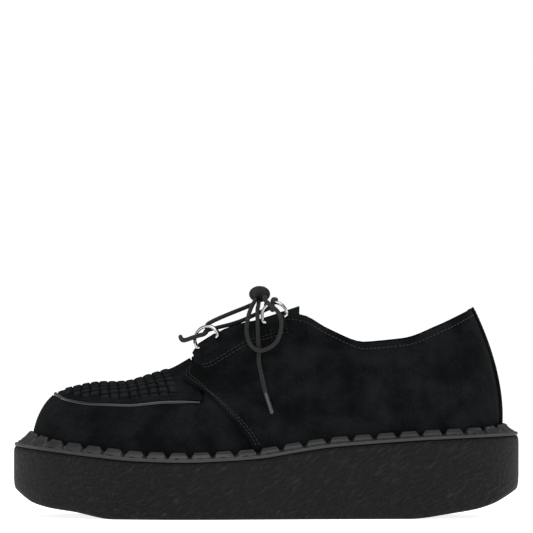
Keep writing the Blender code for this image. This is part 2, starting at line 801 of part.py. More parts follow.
def make_heel_strip(look):
    """Backstay over the quarters' seam."""
    shell = Shell()
    skins = []
    for offset in (QUARTER_LAYER + LAYER_GAP, QUARTER_LAYER + LAYER_GAP + HEEL_STRIP_THICKNESS):
        rows = []
        for rise in quarter_rows(LATERAL):
            width = HEEL_STRIP_HALF * (1.1 - 0.35 * rise)
            spread = width / PLAN.length[LATERAL][-1]
            row = [(LATERAL, 1 - spread * k / 3) for k in range(3, -1, -1)]
            row += [(MEDIAL, 1 - spread * k / 3) for k in range(1, 4)]
            rows.append([quarter_point(side, share, rise, offset) for side, share in row])
        skins.append(shell.grid(rows))
    inside, outside = skins
    for row in (0, -1):
        for c in range(len(inside[row]) - 1):
            shell.face((inside[row][c], inside[row][c + 1], outside[row][c + 1], outside[row][c]))
    for c in (0, -1):
        for r in range(len(inside) - 1):
            shell.face((inside[r][c], inside[r + 1][c], outside[r + 1][c], outside[r][c]))
    return shell.build("heel_strip", look)


def make_piping(look):
    """Round piping in the groove between mudguard and apron."""
    depth = -APRON_LAYER + LAYER_GAP + PIPING_RADIUS
    route = []
    for _, side in SIDES:
        stop = quarter_front(side, piping_rise(side, THROAT_SHARE))
        stop = min(stop, THROAT_SHARE) - 3 * PIPING_RADIUS / PLAN.length[side][-1]
        shares = np.linspace(0.0, stop, 24)
        leg = [layer_point(side, s, piping_rise(side, s), depth) for s in shares]
        route = route + leg[1:] if route else leg[::-1]
    return tube("apron_piping", look, route, PIPING_RADIUS, sides=6)


class Dome:
    """Heights of the last over the apron, looked up from above."""

    def __init__(self):
        points, faces = [], []
        shares = np.linspace(0.0, THROAT_SHARE + 0.02, 61)
        rises = np.linspace(0.0, 1.0, 31)
        for _, side in SIDES:
            start = len(points)
            for share in shares:
                low = piping_rise(side, share) - 0.08
                points += [last_point(side, share, low + (1 - low) * r) for r in rises]
            for i in range(len(shares) - 1):
                for j in range(len(rises) - 1):
                    a = start + i * len(rises) + j
                    faces.append((a, a + len(rises), a + len(rises) + 1, a + 1))
        self.tree = BVHTree.FromPolygons([Vector(p) for p in points], faces)
        self.ceiling = max(p[2] for p in points) + 0.01

    def height(self, x, y):
        """Height at a place, or None beside the dome."""
        hit = self.tree.ray_cast(Vector((x, y, self.ceiling)), Vector((0.0, 0.0, -1.0)))
        return hit[0].z if hit[0] is not None else None

    def offset(self, x, y, distance):
        """Point at a distance outside the dome, square to it."""
        reach = 0.002
        here = self.height(x, y)
        if here is None:
            here = self.tree.find_nearest(Vector((x, y, self.ceiling)))[0].z
        slopes = []
        for dx, dy in ((reach, 0.0), (0.0, reach)):
            ahead, behind = self.height(x + dx, y + dy), self.height(x - dx, y - dy)
            ahead = here if ahead is None else ahead
            behind = here if behind is None else behind
            slopes.append((ahead - behind) / (2 * reach))
        normal = unit(np.array((-slopes[0], -slopes[1], 1.0)))
        return np.array((x, y, here)) + normal * distance


def apron_edge(side):
    """Edge of the apron, inside the piping, from toe to throat."""
    edge = []
    for share in np.linspace(0.0, THROAT_SHARE, 40):
        middle = piping_rise(side, share)
        inset = rise_step(side, share, middle, PIPING_RADIUS + 2 * LAYER_GAP)
        edge.append(last_point(side, share, middle + inset))
    return np.array(edge)


def make_apron(look):
    """Interlaced apron: one wall whose strips stand proud in a checkerboard."""
    dome = Dome()
    edges = {side: apron_edge(side) for _, side in SIDES}
    toe = max(edges[side][0, 0] for _, side in SIDES)
    rear = last_point(LATERAL, THROAT_SHARE, 1.0)[0] - LAYER_GAP
    weave_rear = toe + WEAVE_START + WEAVE_REACH
    rear_edge = min(edges[side][-1, 0] for _, side in SIDES)
    half = max(abs(edges[side][:, 1] - PLAN.centre_at(rear)).max() for _, side in SIDES)
    skew_end = (rear_edge - rear) / half

    def line_x(start, away):
        return start + skew_end * smooth((start - toe) / (rear - toe)) * away

    def edge_away(side, start):
        """How far a line of the weave runs out from the middle before it meets the edge."""
        edge = edges[side]

        def outside(away):
            x = line_x(start, away)
            limit = np.interp(x, edge[:, 0], side * (edge[:, 1] - np.interp(x, PLAN.x, PLAN.middle)))
            return away - limit

        return max(solve(outside, 0.0, 2 * half), 0.0)

    cells = int(math.ceil(WEAVE_REACH / WEAVE_PITCH))
    starts = [(toe + LAYER_GAP, toe + LAYER_GAP, -1)]
    for k in range(cells):
        low = toe + WEAVE_START + k * WEAVE_PITCH
        high = low + WEAVE_PITCH
        starts += [(low + STRIP_SLOPE, low, k), (high - STRIP_SLOPE, high, k)]
    starts += [(x, x, -1) for x in np.linspace(high, rear, 4)[1:]]
    lanes = int(math.ceil(half / WEAVE_PITCH))
    ways = []
    for k in range(-lanes, lanes):
        low = k * WEAVE_PITCH
        high = low + WEAVE_PITCH
        ways += [(low + STRIP_SLOPE, low, k), (high - STRIP_SLOPE, high, k)]
    lines = {start[skin] for start in starts for skin in (0, 1)}
    limits = {(side, x): edge_away(side, x) for _, side in SIDES for x in lines}

    shell = Shell()
    skins = []
    for skin in (0, 1):
        rows = []
        for proud, flush, k in starts:
            x = proud if skin == 1 else flush
            row = []
            for proud_way, flush_way, lane in ways:
                way = proud_way if skin == 1 else flush_way
                side = MEDIAL if lane >= 0 else LATERAL
                limit = limits[side, x]
                away = min(abs(way), limit)
                raised = (
                    skin == 1
                    and k >= 0
                    and (k + lane) % 2 == 0
                    and abs(way) < limit - WEAVE_MARGIN
                    and x < weave_rear
                )
                place = line_x(x, away)
                y = PLAN.centre_at(place) + side * away
                relief = WEAVE_RELIEF if raised else 0.0
                row.append(dome.offset(place, y, relief - APRON_THICKNESS * (1 - skin)))
            rows.append(row)
        skins.append(shell.grid(rows))
    inside, outside = skins
    for row in (0, -1):
        for c in range(len(ways) - 1):
            shell.face((inside[row][c], inside[row][c + 1], outside[row][c + 1], outside[row][c]))
    for c in (0, -1):
        for r in range(len(starts) - 1):
            shell.face((inside[r][c], inside[r + 1][c], outside[r + 1][c], outside[r][c]))
    return shell.build("woven_apron", look, smooth_angle=20.0)


def make_outsole(look):
    """Crepe sole with toe spring, raised heel and softly swollen sides."""
    profile = (
        (0.00, 2.2 * SOLE_EDGE),
        (0.00, 1.0 * SOLE_EDGE),
        (0.07, 0.35 * SOLE_EDGE),
        (0.30, 0.0),
        (0.85, 0.0),
        (1.00, 0.9 * SOLE_EDGE),
    )
    shares = np.linspace(0.0, 1.0, SOLE_COLUMNS + 1)
    loop = [(LATERAL, s) for s in shares] + [(MEDIAL, s) for s in reversed(shares[1:-1])]
    shell = Shell()
    rows = []
    for height, inset in profile:
        row = []
        for side, share in loop:
            edge = PLAN.point(side, share)
            place = edge - PLAN.outward(side, share) * inset
            low, high = sole_under(edge[0]), sole_top(edge[0])
            place[2] = low + (high - low) * height
            row.append(place)
        rows.append(row)
    marks = shell.grid(rows, closed=True)
    for ring in (marks[0], marks[-1]):
        count = len(ring)
        for i in range(SOLE_COLUMNS):
            shell.face((ring[i], ring[i + 1], ring[(count - i - 1) % count], ring[(count - i) % count]))
    return shell.build("outsole", look, smooth_angle=40.0)


@lru_cache(maxsize=None)
def upper_distance(side, share, height):
    """How far inside the sole's outline the outermost layer of the upper stands at a height."""
    rise = solve(lambda r: last_point(side, share, r)[2] - height, 0.0, 0.6)
    inward = PLAN.point(side, share) - last_point(side, share, rise)
    distance = float(np.dot(inward, PLAN.outward(side, share)))
    layers = 0.0
    front = min(quarter_front(side, r) for r in (0.0, 0.12, 0.24))
    margin = 4 * QUARTER_THICKNESS / PLAN.length[side][-1]
    layers += smooth((share - front + 3 * margin) / margin / 2) * QUARTER_LAYER
    spread = HEEL_STRIP_HALF * 1.1 / PLAN.length[side][-1]
    layers += smooth((share - 1 + spread + 4 * margin) / margin / 3) * (LAYER_GAP + HEEL_STRIP_THICKNESS)
    return distance - layers - LAYER_GAP * 1.5


def make_welt(look):
    """Welt: a smooth band on the sole's edge and a crown of teeth that leans on the upper."""
    shell = Shell()
    loop = []
    for _, side in SIDES:
        run = PLAN.length[side][-1]
        teeth = int(round(run / TOOTH_PITCH))
        pitch = run / teeth
        cuts = []
        for tooth in range(teeth):
            for place, full in ((0.04, 0.0), (0.215, 1.0), (0.785, 1.0), (0.96, 0.0)):
                cuts.append(((tooth + place) * pitch, full))
        shares = PLAN.even_shares(side, [c[0] for c in cuts])
        marks = [(side, share, cut[1]) for share, cut in zip(shares, cuts)]
        loop += marks if side == LATERAL else marks[::-1]
    profile = []
    for side, share, full in loop:
        outward = PLAN.outward(side, share)
        edge = PLAN.point(side, share)
        end = CROWN_TOE_RISE if outward[0] < 0 else CROWN_HEEL_RISE
        crown = CROWN_SIDE_RISE + (end - CROWN_SIDE_RISE) * outward[0] ** 2 - TOOTH_DEPTH * (1 - full)
        base = sole_top(edge[0]) + LAYER_GAP
        top = base + crown
        foot = upper_distance(side, share, sole_top(edge[0]) + 2 * LAYER_GAP)
        lean = min(upper_distance(side, share, top + k * crown / 4) for k in range(-4, 1))
        inner = min(foot, lean)
        section = (
            (BAND_INSET, base),
            (BAND_INSET, base + BAND_HEIGHT),
            (BAND_INSET + BAND_WIDTH, base + BAND_HEIGHT),
            (inner - TOOTH_THICKNESS, top),
            (inner, top),
            (inner, base),
        )
        profile.append([edge - outward * d + UP * z for d, z in section])
    rows = [[ring[k] for ring in profile] for k in range(len(section))]
    rows.append(rows[0])
    shell.grid(rows, closed=True)
    return shell.build("crown_welt", look, smooth_angle=25.0, triangles=True)


def make_insole(look):
    """Insole inside the shell, on the sole."""
    shell = Shell()
    shares = last_columns()
    margin = UPPER_WALL + 2 * LAYER_GAP
    rows = []
    for lift, inset in ((LAYER_GAP, 1.0), (INSOLE_THICKNESS, 1.0), (INSOLE_THICKNESS, 3.0)):
        row = []
        for side, share in [(LATERAL, s) for s in shares] + [(MEDIAL, s) for s in shares[-2:0:-1]]:
            foot = last_frame(side, share)[0]
            place = foot - PLAN.outward(side, share) * (margin + UPPER_WALL * (inset - 1) / 2)
            place[2] = sole_top(place[0]) + lift
            row.append(place)
        rows.append(row)
    marks = shell.grid(rows, closed=True)
    for ring in (marks[0], marks[-1]):
        count = len(ring)
        for i in range(len(shares) - 1):
            shell.face((ring[i], ring[i + 1], ring[(count - i - 1) % count], ring[(count - i) % count]))
    return shell.build("insole", look)


def tongue_section(share, skin):
    """Row of the tongue's points at a share: under one edge of the throat, over and under the other."""
    lap = min(share, COLLAR_SHARE)
    depth = UPPER_WALL + 1.5 * LAYER_GAP + TONGUE_THICKNESS * (1 - skin)
    if lap < THROAT_SHARE + 1e-9:
        depth += APRON_LAYER
    row = []
    for _, side in SIDES:
        leg = []
        for back in (1.0, 0.55, 0.1):
            rise = 1.0 - rise_step(side, lap, 0.98, TONGUE_LAP * back)
            leg.append(layer_point(side, lap, rise, -depth))
        row.append(leg)
    lateral, medial = row
    gap = np.linalg.norm(medial[-1] - lateral[-1])
    crown = TONGUE_CROWN * min(gap / THROAT_HALF, 1.0)
    bridge = []
    for k in (0.25, 0.5, 0.75):
        point = lateral[-1] * (1 - k) + medial[-1] * k
        bridge.append(point + UP * crown * (1 - (2 * k - 1) ** 2) * smooth(gap / THROAT_HALF))
    return lateral + bridge + medial[::-1]


def make_tongue(look):
    """Tongue under the throat, from below the vamp to above the rings."""
    shares = last_columns()[COLUMNS_VAMP - 2:COLUMNS_VAMP + COLUMNS_THROAT + 1]
    shell = Shell()
    skins = []
    for skin in (0, 1):
        rows = [tongue_section(share, skin) for share in shares]
        reach = [b + unit(b - a) * TONGUE_REACH for a, b in zip(rows[-2], rows[-1])]
        rows.append(reach)
        skins.append(shell.grid(rows))
    inside, outside = skins
    for row in (0, -1):
        for c in range(len(inside[row]) - 1):
            shell.face((inside[row][c], inside[row][c + 1], outside[row][c + 1], outside[row][c]))
    for c in (0, -1):
        for r in range(len(inside) - 1):
            shell.face((inside[r][c], inside[r + 1][c], outside[r + 1][c], outside[r][c]))
    return shell.build("tongue", look)


class RingSeat:
    """Place and directions of one ring: its bar lies along the facing edge on the quarter."""

    def __init__(self, side, place):
        share = THROAT_SHARE + (COLLAR_SHARE - THROAT_SHARE) * place
        step = 0.008
        low = quarter_point(side, share - step, 1.0, QUARTER_LAYER)
        high = quarter_point(side, share + step, 1.0, QUARTER_LAYER)
        drop = RING_DROP - COLUMN["tab"](share)
        rise = 1.0 - rise_step(side, share, 0.97, drop)
        self.normal = last_normal(side, share, rise)
        along = high - low
        self.along = unit(along - self.normal * np.dot(along, self.normal))
        self.across = unit(np.cross(self.normal, self.along)) * -side
        self.seat = layer_point(side, share, rise, QUARTER_LAYER)
        spread = KEEPER_WIDTH / PLAN.length[side][-1]
        tail = rise_step(side, share, 0.95, KEEPER_TAIL + RING_WIRE_RADIUS + KEEPER_THICKNESS)
        swell = 0.0
        for ds in (-spread, -spread / 2, 0.0, spread / 2, spread):
            under = [layer_point(side, share + ds, rise - k * tail / 2, QUARTER_LAYER) for k in range(3)]
            under += [layer_point(side, share + ds, 1.0, QUARTER_LAYER)]
            under += [quarter_point(side, share + ds, 1.0, QUARTER_LAYER)]
            swell = max([swell] + [float(np.dot(p - self.seat, self.normal)) for p in under])
        self.seat = self.seat + self.normal * swell
        self.lift = 1.5 * LAYER_GAP + RING_WIRE_RADIUS + LAYER_GAP

    def place(self, along, across, lift):
        """Point from distances along the edge, towards the throat and off the leather."""
        return self.seat + self.along * along + self.across * across + self.normal * lift


def make_ring(name, seat, look):
    """Wire D-ring: a straight bar, two legs and a round arch."""
    half = RING_WIDTH / 2
    leg = max(RING_HEIGHT - half, 0.2 * RING_HEIGHT)
    corner = 1.4 * RING_WIRE_RADIUS
    turns = [math.pi * k / 8 for k in range(9)]
    arch = RING_HEIGHT - leg
    outline = [(-half + corner, 0.0), (-0.3 * half, 0.0), (0.3 * half, 0.0), (half - corner, 0.0)]
    outline += [(half - 0.3 * corner, 0.3 * corner), (half, corner)]
    outline += [(half * math.cos(t), leg + arch * math.sin(t)) for t in turns]
    outline += [(-half, corner), (-half + 0.3 * corner, 0.3 * corner)]
    route = [seat.place(a, b, seat.lift) for a, b in outline]
    return tube(name, look, route, RING_WIRE_RADIUS, sides=5, closed=True)


def make_keeper(name, seat, look):
    """Leather loop over a ring's bar, sewn down on the quarter."""
    inner = RING_WIRE_RADIUS + LAYER_GAP
    outer = inner + KEEPER_THICKNESS
    floor = 1.5 * LAYER_GAP
    turns = [math.pi * k / 6 for k in range(7)]
    outline = [(-outer - KEEPER_TAIL, floor), (-outer - KEEPER_TAIL, floor + KEEPER_THICKNESS)]
    outline += [(-outer, floor + KEEPER_THICKNESS)]
    outline += [(-outer * math.cos(t), seat.lift + outer * math.sin(t)) for t in turns]
    outline += [(outer, floor), (inner, floor)]
    outline += [(inner * math.cos(t), seat.lift + inner * math.sin(t)) for t in turns]
    outline += [(-inner, floor)]
    shell = Shell()
    ends = []
    for along in (-KEEPER_WIDTH / 2, KEEPER_WIDTH / 2):
        ends.append([seat.place(along, across, lift) for across, lift in outline])
    marks = shell.grid(ends, closed=True)
    shell.face(marks[0])
    shell.face(list(reversed(marks[1])))
    obj = shell.build(name, look)
    return obj


def ring_centre(seat, lift=0.0):
    """Middle of the space in a ring above its keeper."""
    keeper_top = RING_WIRE_RADIUS + LAYER_GAP + KEEPER_THICKNESS
    return seat.place(0.0, (keeper_top + RING_HEIGHT - RING_WIRE_RADIUS) / 2, seat.lift + lift)


def knot_centre(seats):
    """Middle of the knot, above and between the rings."""
    middle = sum(ring_centre(seat) for seat in seats.values()) / len(seats)
    return middle + np.array((KNOT_SETBACK, 0.0, KNOT_RISE))


def lace_route(seats):
    """Route of the lace from the knot through the four rings and back to it."""
    knot = knot_centre(seats)
    over = RING_WIRE_RADIUS + LACE_RADIUS + 4 * LAYER_GAP
    turn = RING_WIRE_RADIUS + LACE_RADIUS
    width = RING_WIDTH / 2
    near, far = seats[LATERAL, "front"], seats[MEDIAL, "front"]
    last, cross = seats[LATERAL, "rear"], seats[MEDIAL, "rear"]
    elbow = {}
    for seat in (near, far):
        elbow[seat] = ring_centre(seat, over) - seat.along * (width + 2 * turn) + seat.across * turn
    bar = (elbow[near] + elbow[far]) / 2 + np.array((-turn, 0.0, turn))
    bridge = (ring_centre(last) + ring_centre(cross)) / 2 + UP * 2.5 * turn + last.along * turn
    return [
        knot + np.array((-0.36 * KNOT_LENGTH, 0.0, -0.66 * KNOT_HEIGHT)),
        ring_centre(near, -over) + near.across * 2.6 * turn + near.along * 2.2 * turn,
        ring_centre(near, -over) + near.across * turn + near.along * 0.8 * turn,
        ring_centre(near),
        ring_centre(near, over) - near.along * 0.5 * width,
        elbow[near],
        bar,
        elbow[far],
        ring_centre(far, over) - far.along * 0.5 * width,
        ring_centre(far),
        ring_centre(far, -over) + far.across * turn + far.along * 0.8 * turn,
        (ring_centre(far, -over) + ring_centre(cross, -over)) / 2 + cross.across * 1.9 * turn - UP * 1.6 * turn,
        ring_centre(cross, -over) + cross.across * turn - cross.along * 0.8 * turn,
        ring_centre(cross),
        ring_centre(cross, over) + cross.across * 2.2 * turn + cross.along * turn,
        bridge,
        ring_centre(last, over) + last.across * 2.2 * turn + last.along * turn,
        ring_centre(last),
        ring_centre(last, -1.2 * over) + last.across * 2.4 * turn - last.along * 1.5 * turn,
        knot + np.array((0.30 * KNOT_LENGTH, -0.20 * KNOT_WIDTH, -0.66 * KNOT_HEIGHT)),
    ]


def make_knot(centre, look):
    """Knot of the bow, as a rounded lump."""
    shell = Shell()
    rows = []
    for i in range(7):
        tilt = math.pi * i / 6
        ring = []
        for k in range(12):
            turn = 2 * math.pi * k / 12
            away = math.sin(tilt)
            shape = np.array((
                away * math.cos(turn) * KNOT_LENGTH / 2,
                away * math.sin(turn) * KNOT_WIDTH / 2,
                math.cos(tilt) * KNOT_HEIGHT / 2,
            ))
            ring.append(centre + shape)
        rows.append(ring)
    shell.grid(rows, closed=True)
    return shell.build("lace_knot", look)


def cord_point(knot, side, row):
    """Place of a free lace's point on one side of the shoe."""
    return knot + np.array((row.back, side * row.out, row.up))


def make_cord(name, look, points):
    """Round lace along a smooth curve through points, as a curve with a bevel and filled caps."""
    points = resample(points, CORD_POINT_SPACING)
    curve = bpy.data.curves.new(name, "CURVE")
    curve.dimensions = "3D"
    curve.bevel_depth = LACE_RADIUS
    curve.bevel_resolution = 2
    curve.use_fill_caps = True
    spline = curve.splines.new("POLY")
    spline.points.add(len(points) - 1)
    for mark, point in zip(spline.points, points):
        mark.co = (*point, 1.0)
    obj = bpy.data.objects.new(name, curve)
    bpy.context.scene.collection.objects.link(obj)
    curve.materials.append(look)
    return obj


def make_aglet(name, start, tip, look):
    """Sheath on a lace's tip: a cylinder from the lace's end towards a point."""
    along = unit(tip - start)
    middle = start + along * (LAYER_GAP + AGLET_LENGTH / 2)
    bpy.ops.mesh.primitive_cylinder_add(vertices=10, radius=AGLET_RADIUS, depth=AGLET_LENGTH)
    obj = bpy.context.active_object
    obj.name = name
    obj.data.name = name
    obj.location = middle
    obj.rotation_euler = Vector(along).to_track_quat("Z", "Y").to_euler()
    obj.data.shade_smooth()
    obj.data.set_sharp_from_angle(angle=math.radians(50.0))
    obj.data.materials.append(look)
    return obj


def main():
    for obj in list(bpy.data.objects):
        bpy.data.objects.remove(obj, do_unlink=True)
    suede = material("black_suede", (0.012, 0.012, 0.014), 0.95)
    crepe = material("crepe_rubber", (0.018, 0.018, 0.019), 0.55)
    welt = material("welt_rubber", (0.03, 0.03, 0.031), 0.5)
    leather = material("piping_leather", (0.05, 0.05, 0.052), 0.3)
    lining = material("lining_leather", (0.35, 0.2, 0.1), 0.6)
    steel = material("ring_steel", (0.6, 0.6, 0.6), 0.25, 1.0)
    cord = material("lace_cotton", (0.03, 0.028, 0.028), 0.8)

    make_outsole(crepe)
    make_welt(welt)
    make_upper(suede)
    make_insole(lining)
    make_tongue(suede)
    make_apron(suede)
    make_piping(leather)
    for name, side in SIDES:
        make_quarter(f"quarter_{name}", side, suede)
    make_heel_strip(suede)
    seats = {}
    for name, side in SIDES:
        for spot, place in (("front", 0.43), ("rear", 0.93)):
            seats[side, spot] = RingSeat(side, place)
            make_ring(f"ring_{name}_{spot}", seats[side, spot], steel)
            make_keeper(f"keeper_{name}_{spot}", seats[side, spot], suede)
    tube("lace_bars", cord, resample(lace_route(seats), 3.2 * LACE_RADIUS), LACE_RADIUS, sides=6)
    knot = knot_centre(seats)
    make_knot(knot, cord)
    for name, side in SIDES:
        make_cord(f"lace_loop_{name}", cord, [cord_point(knot, side, row) for row in LOOP_ROUTE])
        end = [cord_point(knot, side, row) for row in END_ROUTE]
        make_cord(f"lace_end_{name}", cord, end)
        make_aglet(f"aglet_{name}", end[-1], cord_point(knot, side, AGLET_TIP), leather)


main()
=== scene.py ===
"""Low lace-up suede shoe, left foot, on a thick crepe sole with a crown welt: its looks.

Metres, +Z up, the toe points to -X and the outer (lateral) side to -Y. Every layer of the upper is
an offset of one surface, the last.
"""

import logging
import math
from collections.abc import Callable, Iterable, Sequence
from dataclasses import dataclass, field
from functools import lru_cache
from typing import NamedTuple

import bmesh
import bpy
import numpy as np
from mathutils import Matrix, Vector
from mathutils.bvhtree import BVHTree

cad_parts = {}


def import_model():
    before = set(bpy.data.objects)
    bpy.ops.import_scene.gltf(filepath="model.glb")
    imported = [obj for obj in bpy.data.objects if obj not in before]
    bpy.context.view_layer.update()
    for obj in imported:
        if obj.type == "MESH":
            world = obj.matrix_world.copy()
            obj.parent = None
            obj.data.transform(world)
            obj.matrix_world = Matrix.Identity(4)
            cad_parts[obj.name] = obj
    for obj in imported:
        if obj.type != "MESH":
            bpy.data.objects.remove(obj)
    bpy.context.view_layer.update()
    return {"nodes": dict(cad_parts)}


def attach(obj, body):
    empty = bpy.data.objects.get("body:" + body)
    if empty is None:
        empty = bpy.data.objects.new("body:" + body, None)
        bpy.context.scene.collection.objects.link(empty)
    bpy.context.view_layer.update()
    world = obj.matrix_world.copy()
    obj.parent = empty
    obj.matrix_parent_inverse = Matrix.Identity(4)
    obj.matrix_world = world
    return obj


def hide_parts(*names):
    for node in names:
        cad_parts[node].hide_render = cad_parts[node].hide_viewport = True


LOG = logging.getLogger("shoe")
Array = np.ndarray

# Sole
SOLE_LENGTH = 0.300
BALL_WIDTH = 0.118
WAIST_WIDTH = 0.089
HEEL_WIDTH = 0.086
TOE_SWING = 0.0085
WAIST_SWING = 0.003
FOREPART_THICKNESS = 0.0332
TOE_THICKNESS = 0.0418
HEEL_THICKNESS = 0.0484
TOE_SPRING = 0.0150
HEEL_SPRING = 0.0155
SOLE_EDGE = 0.0016

# Heights of the last above the top of the sole
TOE_RISE = 0.045
INSTEP_RISE = 0.0847
COLLAR_RISE = 0.0588
HEEL_RISE = 0.075

# Half widths of the throat and the collar
THROAT_HALF = 0.0175
COLLAR_HALF = 0.031

# Shelf of the sole outside the upper
SIDE_SHELF = 0.0078
TOE_SHELF = 0.0110
HEEL_SHELF = 0.0102

# Layers
LAYER_GAP = 0.0003
UPPER_WALL = 0.0016
QUARTER_THICKNESS = 0.0014
APRON_THICKNESS = 0.0014
WEAVE_PITCH = 0.00515
WEAVE_RELIEF = 0.0008
WEAVE_START = 0.0040
WEAVE_REACH = 0.062
HEEL_STRIP_THICKNESS = 0.0012
HEEL_STRIP_HALF = 0.0100
QUARTER_LIFT = 0.0005
TAB_HEIGHT = 0.0055
PIPING_RADIUS = 0.00105
TONGUE_THICKNESS = 0.002
TONGUE_LAP = 0.011
TONGUE_CROWN = 0.004
TONGUE_REACH = 0.008

# Crown welt
BAND_INSET = 0.0005
BAND_HEIGHT = 0.0018
BAND_WIDTH = 0.0016
TOOTH_PITCH = 0.0135
TOOTH_DEPTH = 0.0029
TOOTH_THICKNESS = 0.0012
CROWN_SIDE_RISE = 0.0056
CROWN_TOE_RISE = 0.0085
CROWN_HEEL_RISE = 0.0066

# Rings, keepers and laces
RING_WIRE_RADIUS = 0.0009
RING_WIDTH = 0.0152
RING_HEIGHT = 0.0098
RING_DROP = 0.0026
KEEPER_WIDTH = 0.0110
KEEPER_THICKNESS = 0.0012
KEEPER_TAIL = 0.0042
LACE_RADIUS = 0.00125
KNOT_SETBACK = 0.0125
KNOT_RISE = 0.0165
KNOT_LENGTH = 0.0125
KNOT_WIDTH = 0.0110
KNOT_HEIGHT = 0.0095
AGLET_RADIUS = 0.00125
AGLET_LENGTH = 0.0140

COLUMNS_VAMP = 13
COLUMNS_THROAT = 6
COLUMNS_COLLAR = 11
ROWS_BELOW = (0.0, 0.27, 0.54, 0.80)
SAMPLES = 400

LATERAL = -1.0
MEDIAL = 1.0
SIDES = (("lateral", LATERAL), ("medial", MEDIAL))
UP = np.array((0.0, 0.0, 1.0))


class PlanRow(NamedTuple):
    """Outline of the sole at a share of its length: half width and sideways shift of the middle."""

    along: float
    half: float
    swing: float


SOLE_PLAN = (
    PlanRow(0.000, 0.000 * BALL_WIDTH, 1.00 * TOE_SWING),
    PlanRow(0.012, 0.149 * BALL_WIDTH, 0.98 * TOE_SWING),
    PlanRow(0.050, 0.284 * BALL_WIDTH, 0.90 * TOE_SWING),
    PlanRow(0.100, 0.363 * BALL_WIDTH, 0.73 * TOE_SWING),
    PlanRow(0.200, 0.459 * BALL_WIDTH, 0.33 * TOE_SWING),
    PlanRow(0.300, 0.500 * BALL_WIDTH, 0.02 * TOE_SWING),
    PlanRow(0.400, 0.483 * BALL_WIDTH, -0.53 * WAIST_SWING),
    PlanRow(0.500, 0.573 * WAIST_WIDTH, -0.93 * WAIST_SWING),
    PlanRow(0.600, 0.520 * WAIST_WIDTH, -1.00 * WAIST_SWING),
    PlanRow(0.700, 0.500 * WAIST_WIDTH, -0.73 * WAIST_SWING),
    PlanRow(0.800, 0.502 * HEEL_WIDTH, -0.33 * WAIST_SWING),
    PlanRow(0.880, 0.474 * HEEL_WIDTH, -0.10 * WAIST_SWING),
    PlanRow(0.950, 0.370 * HEEL_WIDTH, 0.00 * WAIST_SWING),
    PlanRow(0.988, 0.198 * HEEL_WIDTH, 0.00 * WAIST_SWING),
    PlanRow(1.000, 0.000 * HEEL_WIDTH, 0.00 * WAIST_SWING),
)


class SoleTopRow(NamedTuple):
    """Top edge of the sole: shares of the toe's and of the heel's extra thickness."""

    along: float
    toe: float
    heel: float


SOLE_TOP = (
    SoleTopRow(0.000, 1.00, 0.000),
    SoleTopRow(0.060, 0.75, 0.000),
    SoleTopRow(0.175, 0.30, 0.000),
    SoleTopRow(0.250, 0.08, 0.000),
    SoleTopRow(0.340, 0.00, 0.000),
    SoleTopRow(0.420, 0.00, 0.060),
    SoleTopRow(0.488, 0.00, 0.155),
    SoleTopRow(0.558, 0.00, 0.375),
    SoleTopRow(0.625, 0.00, 0.575),
    SoleTopRow(0.720, 0.00, 0.730),
    SoleTopRow(0.817, 0.00, 0.855),
    SoleTopRow(1.000, 0.00, 1.000),
)


class SoleUnderRow(NamedTuple):
    """Underside of the sole: shares of the toe's and of the heel's spring."""

    along: float
    toe: float
    heel: float


SOLE_UNDER = (
    SoleUnderRow(0.000, 1.06, 0.00),
    SoleUnderRow(0.036, 0.59, 0.00),
    SoleUnderRow(0.073, 0.40, 0.00),
    SoleUnderRow(0.120, 0.27, 0.00),
    SoleUnderRow(0.200, 0.00, 0.00),
    SoleUnderRow(0.500, 0.00, 0.00),
    SoleUnderRow(0.780, 0.00, 0.00),
    SoleUnderRow(0.867, 0.00, 0.21),
    SoleUnderRow(0.915, 0.00, 0.36),
    SoleUnderRow(0.952, 0.00, 0.57),
    SoleUnderRow(1.000, 0.00, 1.04),
)


class Section(NamedTuple):
    """One section of the last, from its foot on the sole's outline to its top.

    foot and along are shares of the sole's length. half is the top's distance from the middle and
    rise its height above the sole. lean, swell and drop are shares of the section's height, reach
    is a share of its width: they set how full the curve is at its foot and at its top. piping is
    the height share of the piping, tab how far the quarter stands above the last's top.
    """

    foot: float
    along: float
    half: float
    rise: float
    lean: float
    swell: float
    reach: float
    drop: float
    piping: float
    tab: float


